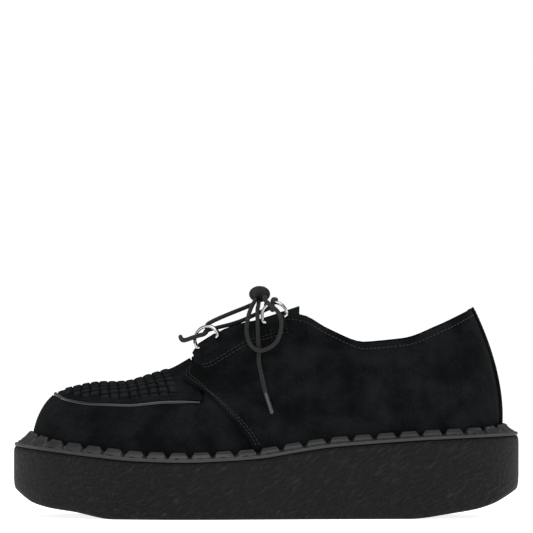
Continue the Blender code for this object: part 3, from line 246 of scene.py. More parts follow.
SECTIONS = (
    Section(0.000, 0.103, 0.00, 0.822 * TOE_RISE, 0.03, 0.46, 0.55, 0.01, 0.940, 0.0 * TAB_HEIGHT),
    Section(0.030, 0.112, 0.00, 0.842 * TOE_RISE, 0.05, 0.48, 0.56, 0.01, 0.895, 0.0 * TAB_HEIGHT),
    Section(0.080, 0.130, 0.00, 0.888 * TOE_RISE, 0.07, 0.53, 0.58, 0.01, 0.800, 0.0 * TAB_HEIGHT),
    Section(0.150, 0.167, 0.00, 0.960 * TOE_RISE, 0.09, 0.56, 0.60, 0.00, 0.720, 0.0 * TAB_HEIGHT),
    Section(0.227, 0.220, 0.00, 1.005 * TOE_RISE, 0.09, 0.56, 0.60, 0.00, 0.712, 0.0 * TAB_HEIGHT),
    Section(0.297, 0.272, 0.00, 0.597 * INSTEP_RISE, 0.08, 0.50, 0.57, 0.03, 0.685, 0.0 * TAB_HEIGHT),
    Section(0.350, 0.315, 0.00, 0.652 * INSTEP_RISE, 0.06, 0.44, 0.52, 0.07, 0.640, 0.0 * TAB_HEIGHT),
    Section(0.393, 0.350, 0.00, 0.722 * INSTEP_RISE, 0.05, 0.40, 0.46, 0.10, 0.575, 0.1 * TAB_HEIGHT),
    Section(0.427, 0.359, 0.38 * THROAT_HALF, 0.735 * INSTEP_RISE, 0.04, 0.38, 0.38, 0.17, 0.570,
            0.40 * TAB_HEIGHT),
    Section(0.457, 0.374, 0.80 * THROAT_HALF, 0.752 * INSTEP_RISE, 0.03, 0.36, 0.30, 0.24, 0.560,
            0.95 * TAB_HEIGHT),
    Section(0.500, 0.410, 0.96 * THROAT_HALF, 0.826 * INSTEP_RISE, 0.03, 0.35, 0.22, 0.31, 0.500,
            1.00 * TAB_HEIGHT),
    Section(0.540, 0.460, 1.00 * THROAT_HALF, 0.915 * INSTEP_RISE, 0.03, 0.34, 0.20, 0.35, 0.500,
            0.50 * TAB_HEIGHT),
    Section(0.573, 0.510, 1.05 * THROAT_HALF, 0.950 * INSTEP_RISE, 0.03, 0.33, 0.20, 0.36, 0.500,
            0.20 * TAB_HEIGHT),
    Section(0.600, 0.537, 0.65 * COLLAR_HALF, 0.966 * INSTEP_RISE, 0.03, 0.33, 0.22, 0.36, 0.500,
            0.15 * TAB_HEIGHT),
    Section(0.633, 0.573, 0.75 * COLLAR_HALF, 0.935 * INSTEP_RISE, 0.03, 0.32, 0.25, 0.37, 0.500,
            0.15 * TAB_HEIGHT),
    Section(0.677, 0.627, 0.90 * COLLAR_HALF, 0.806 * INSTEP_RISE, 0.04, 0.31, 0.28, 0.38, 0.500,
            0.15 * TAB_HEIGHT),
    Section(0.733, 0.700, 1.00 * COLLAR_HALF, 1.000 * COLLAR_RISE, 0.05, 0.30, 0.30, 0.38, 0.500,
            0.15 * TAB_HEIGHT),
    Section(0.793, 0.773, 1.00 * COLLAR_HALF, 1.010 * COLLAR_RISE, 0.05, 0.30, 0.35, 0.36, 0.500,
            0.15 * TAB_HEIGHT),
    Section(0.853, 0.837, 0.90 * COLLAR_HALF, 0.872 * HEEL_RISE, 0.05, 0.31, 0.45, 0.33, 0.500,
            0.15 * TAB_HEIGHT),
    Section(0.917, 0.877, 0.68 * COLLAR_HALF, 0.941 * HEEL_RISE, 0.05, 0.32, 0.58, 0.31, 0.500,
            0.15 * TAB_HEIGHT),
    Section(0.967, 0.898, 0.36 * COLLAR_HALF, 0.984 * HEEL_RISE, 0.05, 0.32, 0.66, 0.30, 0.500,
            0.15 * TAB_HEIGHT),
    Section(1.000, 0.902, 0.00, 1.000 * HEEL_RISE, 0.05, 0.32, 0.68, 0.29, 0.500, 0.15 * TAB_HEIGHT),
)


class FrontEdgeRow(NamedTuple):
    """Front edge of a quarter in side view: height above the sole and share of its length."""

    height: float
    along: float


QUARTER_FRONT = (
    FrontEdgeRow(0.000 * INSTEP_RISE, 0.476),
    FrontEdgeRow(0.060 * INSTEP_RISE, 0.474),
    FrontEdgeRow(0.145 * INSTEP_RISE, 0.463),
    FrontEdgeRow(0.235 * INSTEP_RISE, 0.445),
    FrontEdgeRow(0.385 * INSTEP_RISE, 0.409),
    FrontEdgeRow(0.455 * INSTEP_RISE, 0.390),
    FrontEdgeRow(0.530 * INSTEP_RISE, 0.354),
    FrontEdgeRow(0.575 * INSTEP_RISE, 0.337),
    FrontEdgeRow(0.630 * INSTEP_RISE, 0.340),
    FrontEdgeRow(0.730 * INSTEP_RISE, 0.349),
    FrontEdgeRow(1.100 * INSTEP_RISE, 0.372),
)


class CordRow(NamedTuple):
    """Point of a free lace, in metres from the knot's middle: to the heel, outwards and up."""

    back: float
    out: float
    up: float


LOOP_ROUTE = (
    CordRow(0.0038, 0.0051, -0.0022),
    CordRow(0.0031, 0.0118, -0.0020),
    CordRow(0.0030, 0.0184, -0.0016),
    CordRow(0.0030, 0.0244, -0.0018),
    CordRow(0.0036, 0.0294, -0.0040),
    CordRow(0.0072, 0.0314, -0.0072),
    CordRow(0.0110, 0.0318, -0.0108),
    CordRow(0.0128, 0.0322, -0.0158),
    CordRow(0.0124, 0.0306, -0.0220),
    CordRow(0.0096, 0.0296, -0.0284),
    CordRow(0.0040, 0.0290, -0.0324),
    CordRow(-0.0010, 0.0290, -0.0330),
    CordRow(-0.0054, 0.0276, -0.0296),
    CordRow(-0.0076, 0.0254, -0.0220),
    CordRow(-0.0066, 0.0210, -0.0130),
    CordRow(-0.0046, 0.0138, -0.0072),
    CordRow(-0.0030, 0.0078, -0.0044),
    CordRow(-0.0028, 0.0058, -0.0033),
)

END_ROUTE = (
    CordRow(-0.0005, 0.0042, -0.0048),
    CordRow(-0.0008, 0.0080, -0.0072),
    CordRow(-0.0010, 0.0135, -0.0075),
    CordRow(-0.0012, 0.0190, -0.0088),
    CordRow(-0.0012, 0.0231, -0.0148),
    CordRow(-0.0009, 0.0242, -0.0250),
    CordRow(-0.0004, 0.0259, -0.0330),
    CordRow(-0.0004, 0.0280, -0.0396),
    CordRow(0.0008, 0.0308, -0.0462),
    CordRow(0.0027, 0.0347, -0.0546),
    CordRow(0.0036, 0.0366, -0.0580),
)
AGLET_TIP = CordRow(0.0082, 0.0446, -0.0726)


class Curve:
    """Monotone cubic curve through a table's rows, by one of its columns."""

    def __init__(self, keys: Sequence[float], values: Sequence[float]) -> None:
        """Works out the slopes at the rows."""
        self.keys = np.array(keys, float)
        self.values = np.array(values, float)
        steps = np.diff(self.keys)
        slopes = np.diff(self.values) / steps
        tangents = np.zeros(len(self.keys))
        tangents[0], tangents[-1] = slopes[0], slopes[-1]
        for i in range(1, len(slopes)):
            if slopes[i - 1] * slopes[i] > 0:
                before = 2 * steps[i] + steps[i - 1]
                after = steps[i] + 2 * steps[i - 1]
                tangents[i] = (before + after) / (before / slopes[i - 1] + after / slopes[i])
        self.tangents = tangents

    def __call__(self, key: float) -> float:
        """Value at a key."""
        key = min(max(key, self.keys[0]), self.keys[-1])
        i = min(max(int(np.searchsorted(self.keys, key)) - 1, 0), len(self.keys) - 2)
        step = self.keys[i + 1] - self.keys[i]
        t = (key - self.keys[i]) / step
        return float(
            (2 * t**3 - 3 * t**2 + 1) * self.values[i]
            + (t**3 - 2 * t**2 + t) * step * self.tangents[i]
            + (3 * t**2 - 2 * t**3) * self.values[i + 1]
            + (t**3 - t**2) * step * self.tangents[i + 1]
        )


def unit(vector: Array) -> Array:
    """The vector at length one."""
    return vector / np.linalg.norm(vector)


def smooth(value: float) -> float:
    """Soft step from 0 to 1."""
    value = min(max(value, 0.0), 1.0)
    return value * value * (3 - 2 * value)


def along_to_x(along: float) -> float:
    """X of a share of the sole's length."""
    return (along - 0.5) * SOLE_LENGTH


def solve(function: Callable[[float], float], low: float, high: float) -> float:
    """Where a rising function crosses zero."""
    for _ in range(36):
        middle = (low + high) / 2
        if function(middle) < 0:
            low = middle
        else:
            high = middle
    return (low + high) / 2


def through_points(keys: Sequence[float], points: Sequence) -> Callable[[float], Array]:
    """Catmull-Rom curve through points at given keys, as a function of the key."""
    keys = np.array(keys, float)
    points = np.array(points, float)
    tangents = np.zeros_like(points)
    tangents[1:-1] = (points[2:] - points[:-2]) / (keys[2:] - keys[:-2])[:, None]
    tangents[0] = (points[1] - points[0]) / (keys[1] - keys[0])
    tangents[-1] = (points[-1] - points[-2]) / (keys[-1] - keys[-2])

    def at(key: float) -> Array:
        i = min(max(int(np.searchsorted(keys, key)) - 1, 0), len(keys) - 2)
        step = keys[i + 1] - keys[i]
        t = (key - keys[i]) / step
        return (
            (2 * t**3 - 3 * t**2 + 1) * points[i]
            + (t**3 - 2 * t**2 + t) * step * tangents[i]
            + (3 * t**2 - 2 * t**3) * points[i + 1]
            + (t**3 - t**2) * step * tangents[i + 1]
        )

    return at


class Plan:
    """Outline of the sole seen from above, by side and by a share of the way from toe to heel."""

    def __init__(self) -> None:
        """Samples the outline once."""
        ring = [(along_to_x(r.along), -r.half, r.swing) for r in SOLE_PLAN]
        ring += [(along_to_x(r.along), r.half, r.swing) for r in reversed(SOLE_PLAN[1:-1])]
        corners = np.array(ring + ring[:3])
        steps = np.linalg.norm(np.diff(corners[:, :2], axis=0), axis=1)
        keys = np.concatenate(([0.0], np.cumsum(steps)))
        lap = keys[len(ring)]
        heel = keys[len(SOLE_PLAN) - 1]
        loop = np.vstack((np.array(ring[-2:]), corners))
        loop_keys = np.concatenate((keys[len(ring) - 2:len(ring)] - lap, keys))
        curve = through_points(loop_keys, loop)
        shares = np.linspace(0.0, 1.0, SAMPLES + 1)
        half = np.array([curve(s * heel) for s in shares])
        half[0, 1] = half[-1, 1] = 0.0
        self.shares = shares
        self.x = half[:, 0]
        self.half = -half[:, 1]
        self.middle = half[:, 2]
        low = (self.middle - self.half).min()
        high = (self.middle + self.half).max()
        self.middle -= (low + high) / 2
        self.length = {}
        for _, side in SIDES:
            y = self.middle + side * self.half
            step = np.hypot(np.diff(self.x), np.diff(y))
            self.length[side] = np.concatenate(([0.0], np.cumsum(step)))

    def point(self, side: float, share: float) -> Array:
        """Point on the outline."""
        x = np.interp(share, self.shares, self.x)
        half = np.interp(share, self.shares, self.half)
        return np.array((x, self.centre(share) + side * half, 0.0))

    def centre(self, share: float) -> float:
        """Y of the shoe's middle line at a share."""
        return float(np.interp(share, self.shares, self.middle))

    def centre_at(self, x: float) -> float:
        """Y of the shoe's middle line at an X."""
        return float(np.interp(x, self.x, self.middle))

    def share_at(self, x: float) -> float:
        """Share of the way from toe to heel at an X."""
        return float(np.interp(x, self.x, self.shares))

    def outward(self, side: float, share: float) -> Array:
        """Horizontal normal of the outline, pointing out."""
        if share < 1e-6:
            return np.array((-1.0, 0.0, 0.0))
        if share > 1 - 1e-6:
            return np.array((1.0, 0.0, 0.0))
        reach = 2.0 / SAMPLES
        low, high = share - reach, share + reach
        before = self.point(side, low) if low >= 0 else self.point(-side, -low)
        after = self.point(side, high) if high <= 1 else self.point(-side, 2 - high)
        along = unit(after - before)
        return np.array((-side * along[1], side * along[0], 0.0))

    def even_shares(self, side: float, distances: Sequence[float]) -> Array:
        """Shares at distances along one side, from the toe."""
        return np.interp(distances, self.length[side], self.shares)


PLAN = Plan()
TOP_TOE = Curve([r.along for r in SOLE_TOP], [r.toe for r in SOLE_TOP])
TOP_HEEL = Curve([r.along for r in SOLE_TOP], [r.heel for r in SOLE_TOP])
UNDER_TOE = Curve([r.along for r in SOLE_UNDER], [r.toe for r in SOLE_UNDER])
UNDER_HEEL = Curve([r.along for r in SOLE_UNDER], [r.heel for r in SOLE_UNDER])


def sole_top(x: float) -> float:
    """Height of the sole's top at an X."""
    along = x / SOLE_LENGTH + 0.5
    toe = TOP_TOE(along) * (TOE_THICKNESS - FOREPART_THICKNESS)
    heel = TOP_HEEL(along) * (HEEL_THICKNESS - FOREPART_THICKNESS)
    return FOREPART_THICKNESS + toe + heel


def sole_under(x: float) -> float:
    """Height of the sole's underside at an X."""
    along = x / SOLE_LENGTH + 0.5
    return UNDER_TOE(along) * TOE_SPRING + UNDER_HEEL(along) * HEEL_SPRING


FOOT_SHARES = [PLAN.share_at(along_to_x(s.foot)) for s in SECTIONS]
FOOT_SHARES[0], FOOT_SHARES[-1] = 0.0, 1.0
COLUMN = {name: Curve(FOOT_SHARES, [getattr(s, name) for s in SECTIONS]) for name in Section._fields[1:]}
THROAT_SHARE = FOOT_SHARES[7]
COLLAR_SHARE = FOOT_SHARES[13]
QUARTER_SHARE = PLAN.share_at(along_to_x(QUARTER_FRONT[0].along))
QUARTER_BLEND = 0.07
TAB_SETBACK = 0.034
LAST_TOP = 0.9999
HEEL_STRIP_SHARE = 0.93
QUARTER_LAYER = LAYER_GAP + QUARTER_THICKNESS
APRON_LAYER = LAYER_GAP + APRON_THICKNESS


def quarter_blend(share: float) -> float:
    """How far the last makes room for the quarter at a share: 0 under the vamp, 1 behind it."""
    return smooth((share - QUARTER_SHARE) / QUARTER_BLEND / 2 + 0.5)


@lru_cache(maxsize=None)
def shelf(side: float, share: float) -> float:
    """Distance from the sole's outline in to the last."""
    normal = PLAN.outward(side, share)[0]
    end = TOE_SHELF if normal < 0 else HEEL_SHELF
    strip = smooth((share - HEEL_STRIP_SHARE) / (1 - HEEL_STRIP_SHARE) * 2)
    layers = quarter_blend(share) * QUARTER_LAYER + strip * (LAYER_GAP + HEEL_STRIP_THICKNESS)
    return SIDE_SHELF + (end - SIDE_SHELF) * normal**2 + layers


@lru_cache(maxsize=None)
def last_frame(side: float, share: float) -> tuple[Array, Array, Array, Array]:
    """The four control points of the last's section at a share."""
    outward = PLAN.outward(side, share)
    foot = PLAN.point(side, share) - outward * shelf(side, share)
    foot[2] = sole_top(foot[0]) + LAYER_GAP
    x = along_to_x(COLUMN["along"](share))
    top = np.array((x, PLAN.centre_at(x) + side * COLUMN["half"](share), 0.0))
    top[2] = sole_top(x) + COLUMN["rise"](share)
    height = top[2] - foot[2]
    across = foot - top
    across[2] = 0.0
    low = foot + UP * COLUMN["swell"](share) * height + outward * COLUMN["lean"](share) * height
    high = top + across * COLUMN["reach"](share) - UP * COLUMN["drop"](share) * height
    return foot, low, high, top


def last_point(side: float, share: float, rise: float) -> Array:
    """Point on the last: rise goes from 0 at the sole to 1 at the top, and on in a straight line."""
    foot, low, high, top = last_frame(side, share)
    if rise > 1:
        return top + (top - high) * 3 * (rise - 1)
    left = 1 - rise
    return left**3 * foot + 3 * left**2 * rise * low + 3 * left * rise**2 * high + rise**3 * top


def side_normal(side: float, share: float, rise: float) -> Array:
    """Outward normal of the last, worked out on one side."""
    step = 0.004
    rise = min(rise, 1.0)
    low, high = max(share - step, 0.0), min(share + step, 1.0)
    across = last_point(side, high, rise) - last_point(side, low, rise)
    down, up = max(rise - step, 0.0), min(rise + step, 1.0)
    upward = last_point(side, share, up) - last_point(side, share, down)
    return unit(np.cross(across, upward)) * -side


@lru_cache(maxsize=None)
def last_normal(side: float, share: float, rise: float) -> Array:
    """Outward normal of the last. On its middle seams both sides share one normal."""
    ridge = rise > 0.999 and share <= THROAT_SHARE
    inner = min(max(share, 0.03), 0.985) if (ridge or share < 0.01 or share > 0.99) else share
    normal = side_normal(side, inner, rise)
    if ridge or share < 1e-6 or share > 1 - 1e-6:
        other = side_normal(-side, inner, rise)
        normal = normal + other
        centre = PLAN.outward(side, share) if share in (0.0, 1.0) else None
        if centre is not None:
            normal[1] = 0.0
    return unit(normal)


def layer_point(side: float, share: float, rise: float, offset: float) -> Array:
    """Point at a distance outside the last, and never lower than the sole's top."""
    point = last_point(side, share, rise) + last_normal(side, share, rise) * offset
    point[2] = max(point[2], sole_top(point[0]) + LAYER_GAP)
    return point


def rise_step(side: float, share: float, rise: float, distance: float) -> float:
    """Change of rise that moves a point by a distance along its section."""
    reach = 0.01
    span = last_point(side, share, rise + reach) - last_point(side, share, rise - reach)
    return distance * 2 * reach / np.linalg.norm(span)


@lru_cache(maxsize=None)
def piping_rise(side: float, share: float) -> float:
    """Rise of the piping at a share."""
    foot, _, _, top = last_frame(side, share)
    height = foot[2] + COLUMN["piping"](share) * (top[2] - foot[2])
    return solve(lambda rise: last_point(side, share, rise)[2] - height, 0.2, 1.0)


FRONT_EDGE = Curve([r.height for r in QUARTER_FRONT], [r.along for r in QUARTER_FRONT])


@lru_cache(maxsize=None)
def quarter_front(side: float, rise: float) -> float:
    """Share at which a quarter begins at a rise."""

    def past_edge(share: float) -> float:
        point = last_point(side, share, min(rise, 1.0))
        height = point[2] - sole_top(point[0])
        return point[0] - along_to_x(FRONT_EDGE(height))

    clear = THROAT_SHARE + TAB_SETBACK * smooth((rise - 0.8) / 0.2)
    front = solve(past_edge, 0.25, 0.75)
    return max(front, clear) if rise > 0.8 else front


def resample(points: Sequence, spacing: float) -> list[Array]:
    """Points at an even spacing on a smooth curve through the given ones."""
    points = np.array(points, float)
    chord = np.concatenate(([0.0], np.cumsum(np.linalg.norm(np.diff(points, axis=0), axis=1) ** 0.5)))
    curve = through_points(chord, points)
    fine = np.array([curve(k) for k in np.linspace(0.0, chord[-1], SAMPLES)])
    run = np.concatenate(([0.0], np.cumsum(np.linalg.norm(np.diff(fine, axis=0), axis=1))))
    count = max(int(round(run[-1] / spacing)), 2)
    marks = np.linspace(0.0, run[-1], count + 1)
    return [np.array([np.interp(m, run, fine[:, axis]) for axis in range(3)]) for m in marks]


def last_columns() -> list[float]:
    """Shares of the upper's columns, from toe to heel."""
    vamp = np.linspace(0.0, THROAT_SHARE, COLUMNS_VAMP + 1)
    throat = np.linspace(THROAT_SHARE, COLLAR_SHARE, COLUMNS_THROAT + 1)
    collar = np.linspace(COLLAR_SHARE, 1.0, COLUMNS_COLLAR + 1)
    return [*vamp, *throat[1:], *collar[1:]]


def quarter_point(side: float, share: float, rise: float, offset: float) -> Array:
    """Point of a quarter. It lies higher on the apron, and its last row stands up as the tab."""
    over_apron = 1 - smooth((share - THROAT_SHARE) / TAB_SETBACK)
    point = layer_point(side, share, rise, offset + QUARTER_LIFT * over_apron)
    if rise >= 1.0:
        _, _, high, top = last_frame(side, share)
        point = point + unit(top - high) * COLUMN["tab"](share)
    return point


class Dome:
    """Heights of the last over the apron, looked up from above."""

    def __init__(self) -> None:
        """Samples the last over the apron."""
        points, faces = [], []
        shares = np.linspace(0.0, THROAT_SHARE + 0.02, 61)
        rises = np.linspace(0.0, 1.0, 31)
        for _, side in SIDES:
            start = len(points)
            for share in shares:
                low = piping_rise(side, share) - 0.08
                points += [last_point(side, share, low + (1 - low) * r) for r in rises]
            for i in range(len(shares) - 1):
                for j in range(len(rises) - 1):
                    a = start + i * len(rises) + j
                    faces.append((a, a + len(rises), a + len(rises) + 1, a + 1))
        self.tree = BVHTree.FromPolygons([Vector(p) for p in points], faces)
        self.ceiling = max(p[2] for p in points) + 0.01

    def height(self, x: float, y: float) -> float | None:
        """Height at a place, or None beside the dome."""
        hit = self.tree.ray_cast(Vector((x, y, self.ceiling)), Vector((0.0, 0.0, -1.0)))
        return hit[0].z if hit[0] is not None else None

    def offset(self, x: float, y: float, distance: float) -> Array:
        """Point at a distance outside the dome, square to it."""
        reach = 0.002
        here = self.height(x, y)
        if here is None:
            here = self.tree.find_nearest(Vector((x, y, self.ceiling)))[0].z
        slopes = []
        for dx, dy in ((reach, 0.0), (0.0, reach)):
            ahead, behind = self.height(x + dx, y + dy), self.height(x - dx, y - dy)
            ahead = here if ahead is None else ahead
            behind = here if behind is None else behind
            slopes.append((ahead - behind) / (2 * reach))
        normal = unit(np.array((-slopes[0], -slopes[1], 1.0)))
        return np.array((x, y, here)) + normal * distance


def apron_edge(side: float) -> Array:
    """Edge of the apron, inside the piping, from toe to throat."""
    edge = []
    for share in np.linspace(0.0, THROAT_SHARE, 40):
        middle = piping_rise(side, share)
        inset = rise_step(side, share, middle, PIPING_RADIUS + 2 * LAYER_GAP)
        edge.append(last_point(side, share, middle + inset))
    return np.array(edge)


@lru_cache(maxsize=None)
def upper_distance(side: float, share: float, height: float) -> float:
    """How far inside the sole's outline the outermost layer of the upper stands at a height."""
    rise = solve(lambda r: last_point(side, share, r)[2] - height, 0.0, 0.6)
    inward = PLAN.point(side, share) - last_point(side, share, rise)
    distance = float(np.dot(inward, PLAN.outward(side, share)))
    layers = 0.0
    front = min(quarter_front(side, r) for r in (0.0, 0.12, 0.24))
    margin = 4 * QUARTER_THICKNESS / PLAN.length[side][-1]
    layers += smooth((share - front + 3 * margin) / margin / 2) * QUARTER_LAYER
    spread = HEEL_STRIP_HALF * 1.1 / PLAN.length[side][-1]
    layers += smooth((share - 1 + spread + 4 * margin) / margin / 3) * (LAYER_GAP + HEEL_STRIP_THICKNESS)
    return distance - layers - LAYER_GAP * 1.5


def tongue_section(share: float, skin: int) -> list[Array]:
    """Row of the tongue's points at a share: under one edge of the throat, over and under the other."""
    lap = min(share, COLLAR_SHARE)
    depth = UPPER_WALL + 1.5 * LAYER_GAP + TONGUE_THICKNESS * (1 - skin)
    if lap < THROAT_SHARE + 1e-9:
        depth += APRON_LAYER
    row = []
    for _, side in SIDES:
        leg = []
        for back in (1.0, 0.55, 0.1):
            rise = 1.0 - rise_step(side, lap, 0.98, TONGUE_LAP * back)
            leg.append(layer_point(side, lap, rise, -depth))
        row.append(leg)
    lateral, medial = row
    gap = np.linalg.norm(medial[-1] - lateral[-1])
    crown = TONGUE_CROWN * min(gap / THROAT_HALF, 1.0)
    bridge = []
    for k in (0.25, 0.5, 0.75):
        point = lateral[-1] * (1 - k) + medial[-1] * k
        bridge.append(point + UP * crown * (1 - (2 * k - 1) ** 2) * smooth(gap / THROAT_HALF))
    return lateral + bridge + medial[::-1]


class RingSeat:
    """Place and directions of one ring: its bar lies along the facing edge on the quarter."""

    def __init__(self, side: float, place: float) -> None:
        """Finds the seat at a share of the facing edge."""
        share = THROAT_SHARE + (COLLAR_SHARE - THROAT_SHARE) * place
        step = 0.008
        low = quarter_point(side, share - step, 1.0, QUARTER_LAYER)
        high = quarter_point(side, share + step, 1.0, QUARTER_LAYER)
        drop = RING_DROP - COLUMN["tab"](share)
        rise = 1.0 - rise_step(side, share, 0.97, drop)
        self.normal = last_normal(side, share, rise)
        along = high - low
        self.along = unit(along - self.normal * np.dot(along, self.normal))
        self.across = unit(np.cross(self.normal, self.along)) * -side
        self.seat = layer_point(side, share, rise, QUARTER_LAYER)
        spread = KEEPER_WIDTH / PLAN.length[side][-1]
        tail = rise_step(side, share, 0.95, KEEPER_TAIL + RING_WIRE_RADIUS + KEEPER_THICKNESS)
        swell = 0.0
        for ds in (-spread, -spread / 2, 0.0, spread / 2, spread):
            under = [layer_point(side, share + ds, rise - k * tail / 2, QUARTER_LAYER) for k in range(3)]
            under += [layer_point(side, share + ds, 1.0, QUARTER_LAYER)]
            under += [quarter_point(side, share + ds, 1.0, QUARTER_LAYER)]
            swell = max([swell] + [float(np.dot(p - self.seat, self.normal)) for p in under])
        self.seat = self.seat + self.normal * swell
        self.lift = 1.5 * LAYER_GAP + RING_WIRE_RADIUS + LAYER_GAP

    def place(self, along: float, across: float, lift: float) -> Array:
        """Point from distances along the edge, towards the throat and off the leather."""
        return self.seat + self.along * along + self.across * across + self.normal * lift


def ring_centre(seat: RingSeat, lift: float = 0.0) -> Array:
    """Middle of the space in a ring above its keeper."""
    keeper_top = RING_WIRE_RADIUS + LAYER_GAP + KEEPER_THICKNESS
    return seat.place(0.0, (keeper_top + RING_HEIGHT - RING_WIRE_RADIUS) / 2, seat.lift + lift)


def knot_centre(seats: dict) -> Array:
    """Middle of the knot, above and between the rings."""
    middle = sum(ring_centre(seat) for seat in seats.values()) / len(seats)
    return middle + np.array((KNOT_SETBACK, 0.0, KNOT_RISE))


def lace_route(seats: dict) -> list[Array]:
    """Route of the lace from the knot through the four rings and back to it."""
    knot = knot_centre(seats)
    over = RING_WIRE_RADIUS + LACE_RADIUS + 4 * LAYER_GAP
    turn = RING_WIRE_RADIUS + LACE_RADIUS
    width = RING_WIDTH / 2
    near, far = seats[LATERAL, "front"], seats[MEDIAL, "front"]
    last, cross = seats[LATERAL, "rear"], seats[MEDIAL, "rear"]
    elbow = {}
    for seat in (near, far):
        elbow[seat] = ring_centre(seat, over) - seat.along * (width + 2 * turn) + seat.across * turn
    bar = (elbow[near] + elbow[far]) / 2 + np.array((-turn, 0.0, turn))
    bridge = (ring_centre(last) + ring_centre(cross)) / 2 + UP * 2.5 * turn + last.along * turn
    return [
        knot + np.array((-0.36 * KNOT_LENGTH, 0.0, -0.66 * KNOT_HEIGHT)),
        ring_centre(near, -over) + near.across * 2.6 * turn + near.along * 2.2 * turn,
        ring_centre(near, -over) + near.across * turn + near.along * 0.8 * turn,
        ring_centre(near),
        ring_centre(near, over) - near.along * 0.5 * width,
        elbow[near],
        bar,
        elbow[far],
        ring_centre(far, over) - far.along * 0.5 * width,
        ring_centre(far),
        ring_centre(far, -over) + far.across * turn + far.along * 0.8 * turn,
        (ring_centre(far, -over) + ring_centre(cross, -over)) / 2
        + cross.across * 1.9 * turn - UP * 1.6 * turn,
        ring_centre(cross, -over) + cross.across * turn - cross.along * 0.8 * turn,
        ring_centre(cross),
        ring_centre(cross, over) + cross.across * 2.2 * turn + cross.along * turn,
        bridge,
        ring_centre(last, over) + last.across * 2.2 * turn + last.along * turn,
        ring_centre(last),
        ring_centre(last, -1.2 * over) + last.across * 2.4 * turn - last.along * 1.5 * turn,
        knot + np.array((0.30 * KNOT_LENGTH, -0.20 * KNOT_WIDTH, -0.66 * KNOT_HEIGHT)),
    ]


def cord_point(knot: Array, side: float, row: CordRow) -> Array:
    """Place of a free lace's point on one side of the shoe."""
    return knot + np.array((row.back, side * row.out, row.up))


# Finishes


class Value:
    """A shader value: a socket whose operators build Math nodes."""

    def __init__(self, paint: "Paint", socket: bpy.types.NodeSocket) -> None:
        """Keeps the paint that owns the nodes, and the socket."""
        self.paint = paint
        self.socket = socket

    def _math(self, kind: str, first: object, second: object) -> "Value":
        """Math node of one kind over two values."""
        return self.paint.node("ShaderNodeMath", {"operation": kind}, {0: first, 1: second})

    def __add__(self, other: object) -> "Value":
        """Sum."""
        return self._math("ADD", self, other)

    def __radd__(self, other: object) -> "Value":
        """Sum with a number on the left."""
        return self._math("ADD", other, self)

    def __sub__(self, other: object) -> "Value":
        """Difference."""
        return self._math("SUBTRACT", self, other)

    def __rsub__(self, other: object) -> "Value":
        """Difference from a number on the left."""
        return self._math("SUBTRACT", other, self)

    def __mul__(self, other: object) -> "Value":
        """Product."""
        return self._math("MULTIPLY", self, other)

    def __rmul__(self, other: object) -> "Value":
        """Product with a number on the left."""
        return self._math("MULTIPLY", other, self)


class Paint:
    """One procedural material under construction."""

    def __init__(self, name: str) -> None:
        """Makes a material with a Principled shader."""
        self.material = bpy.data.materials.new(name)
        self.material.use_nodes = True
        self.tree = self.material.node_tree
        self.shader = self.tree.nodes["Principled BSDF"]

    def put(self, socket: bpy.types.NodeSocket, value: object) -> None:
        """Links a value to a socket, or sets it."""
        if isinstance(value, Value):
            self.tree.links.new(value.socket, socket)
        else:
            socket.default_value = value

    def node(
        self, kind: str, settings: dict | None = None, inputs: dict | None = None, out: object = 0
    ) -> Value:
        """Adds a node.

        Args:
            kind: the node's type.
            settings: its properties, set first.
            inputs: values or links for its sockets, by name or number.
            out: name or number of the output that is wanted.

        Returns:
            The output as a value.
        """
        node = self.tree.nodes.new(kind)
        for key, value in (settings or {}).items():
            setattr(node, key, value)
        for key, value in (inputs or {}).items():
            self.put(node.inputs[key], value)
        return Value(self, node.outputs[out])

    def set(self, **values: object) -> None:
        """Sets the shader's own sockets, with underscores for spaces."""
        for key, value in values.items():
            self.put(self.shader.inputs[key.replace("_", " ")], value)

    def place(self, *scale: float) -> Value:
        """Object coordinates, stretched by a scale in each direction."""
        where = self.node("ShaderNodeTexCoord", out="Object")
        if not scale:
            return where
        return self.node("ShaderNodeVectorMath", {"operation": "MULTIPLY"}, {0: where, 1: scale})

    def noise(
        self, scale: float, detail: float = 3.0, where: Value | None = None, rough: float = 0.55
    ) -> Value:
        """Noise of a scale per metre."""
        inputs = {"Vector": where or self.place(), "Scale": scale, "Detail": detail, "Roughness": rough}
        return self.node("ShaderNodeTexNoise", {}, inputs)

    def ramp(self, value: Value, low: float, high: float) -> Value:
        """Soft step between two levels."""
        settings = {"interpolation_type": "SMOOTHSTEP"}
        return self.node("ShaderNodeMapRange", settings, {0: value, 1: low, 2: high, 3: 0.0, 4: 1.0})

    def mix(self, share: object, first: object, second: object) -> Value:
        """Blend of two colours."""
        node = self.tree.nodes.new("ShaderNodeMix")
        node.data_type = "RGBA"
        self.put(node.inputs[0], share)
        self.put(node.inputs[6], first)
        self.put(node.inputs[7], second)
        return Value(self, node.outputs[2])

    def bump(self, height: Value, distance: float, strength: float = 1.0) -> None:
        """Bumps the shader's normal by a height in metres."""
        inputs = {"Height": height, "Distance": distance, "Strength": strength}
        self.put(self.shader.inputs["Normal"], self.node("ShaderNodeBump", {}, inputs))


Colour = tuple[float, float, float, float]


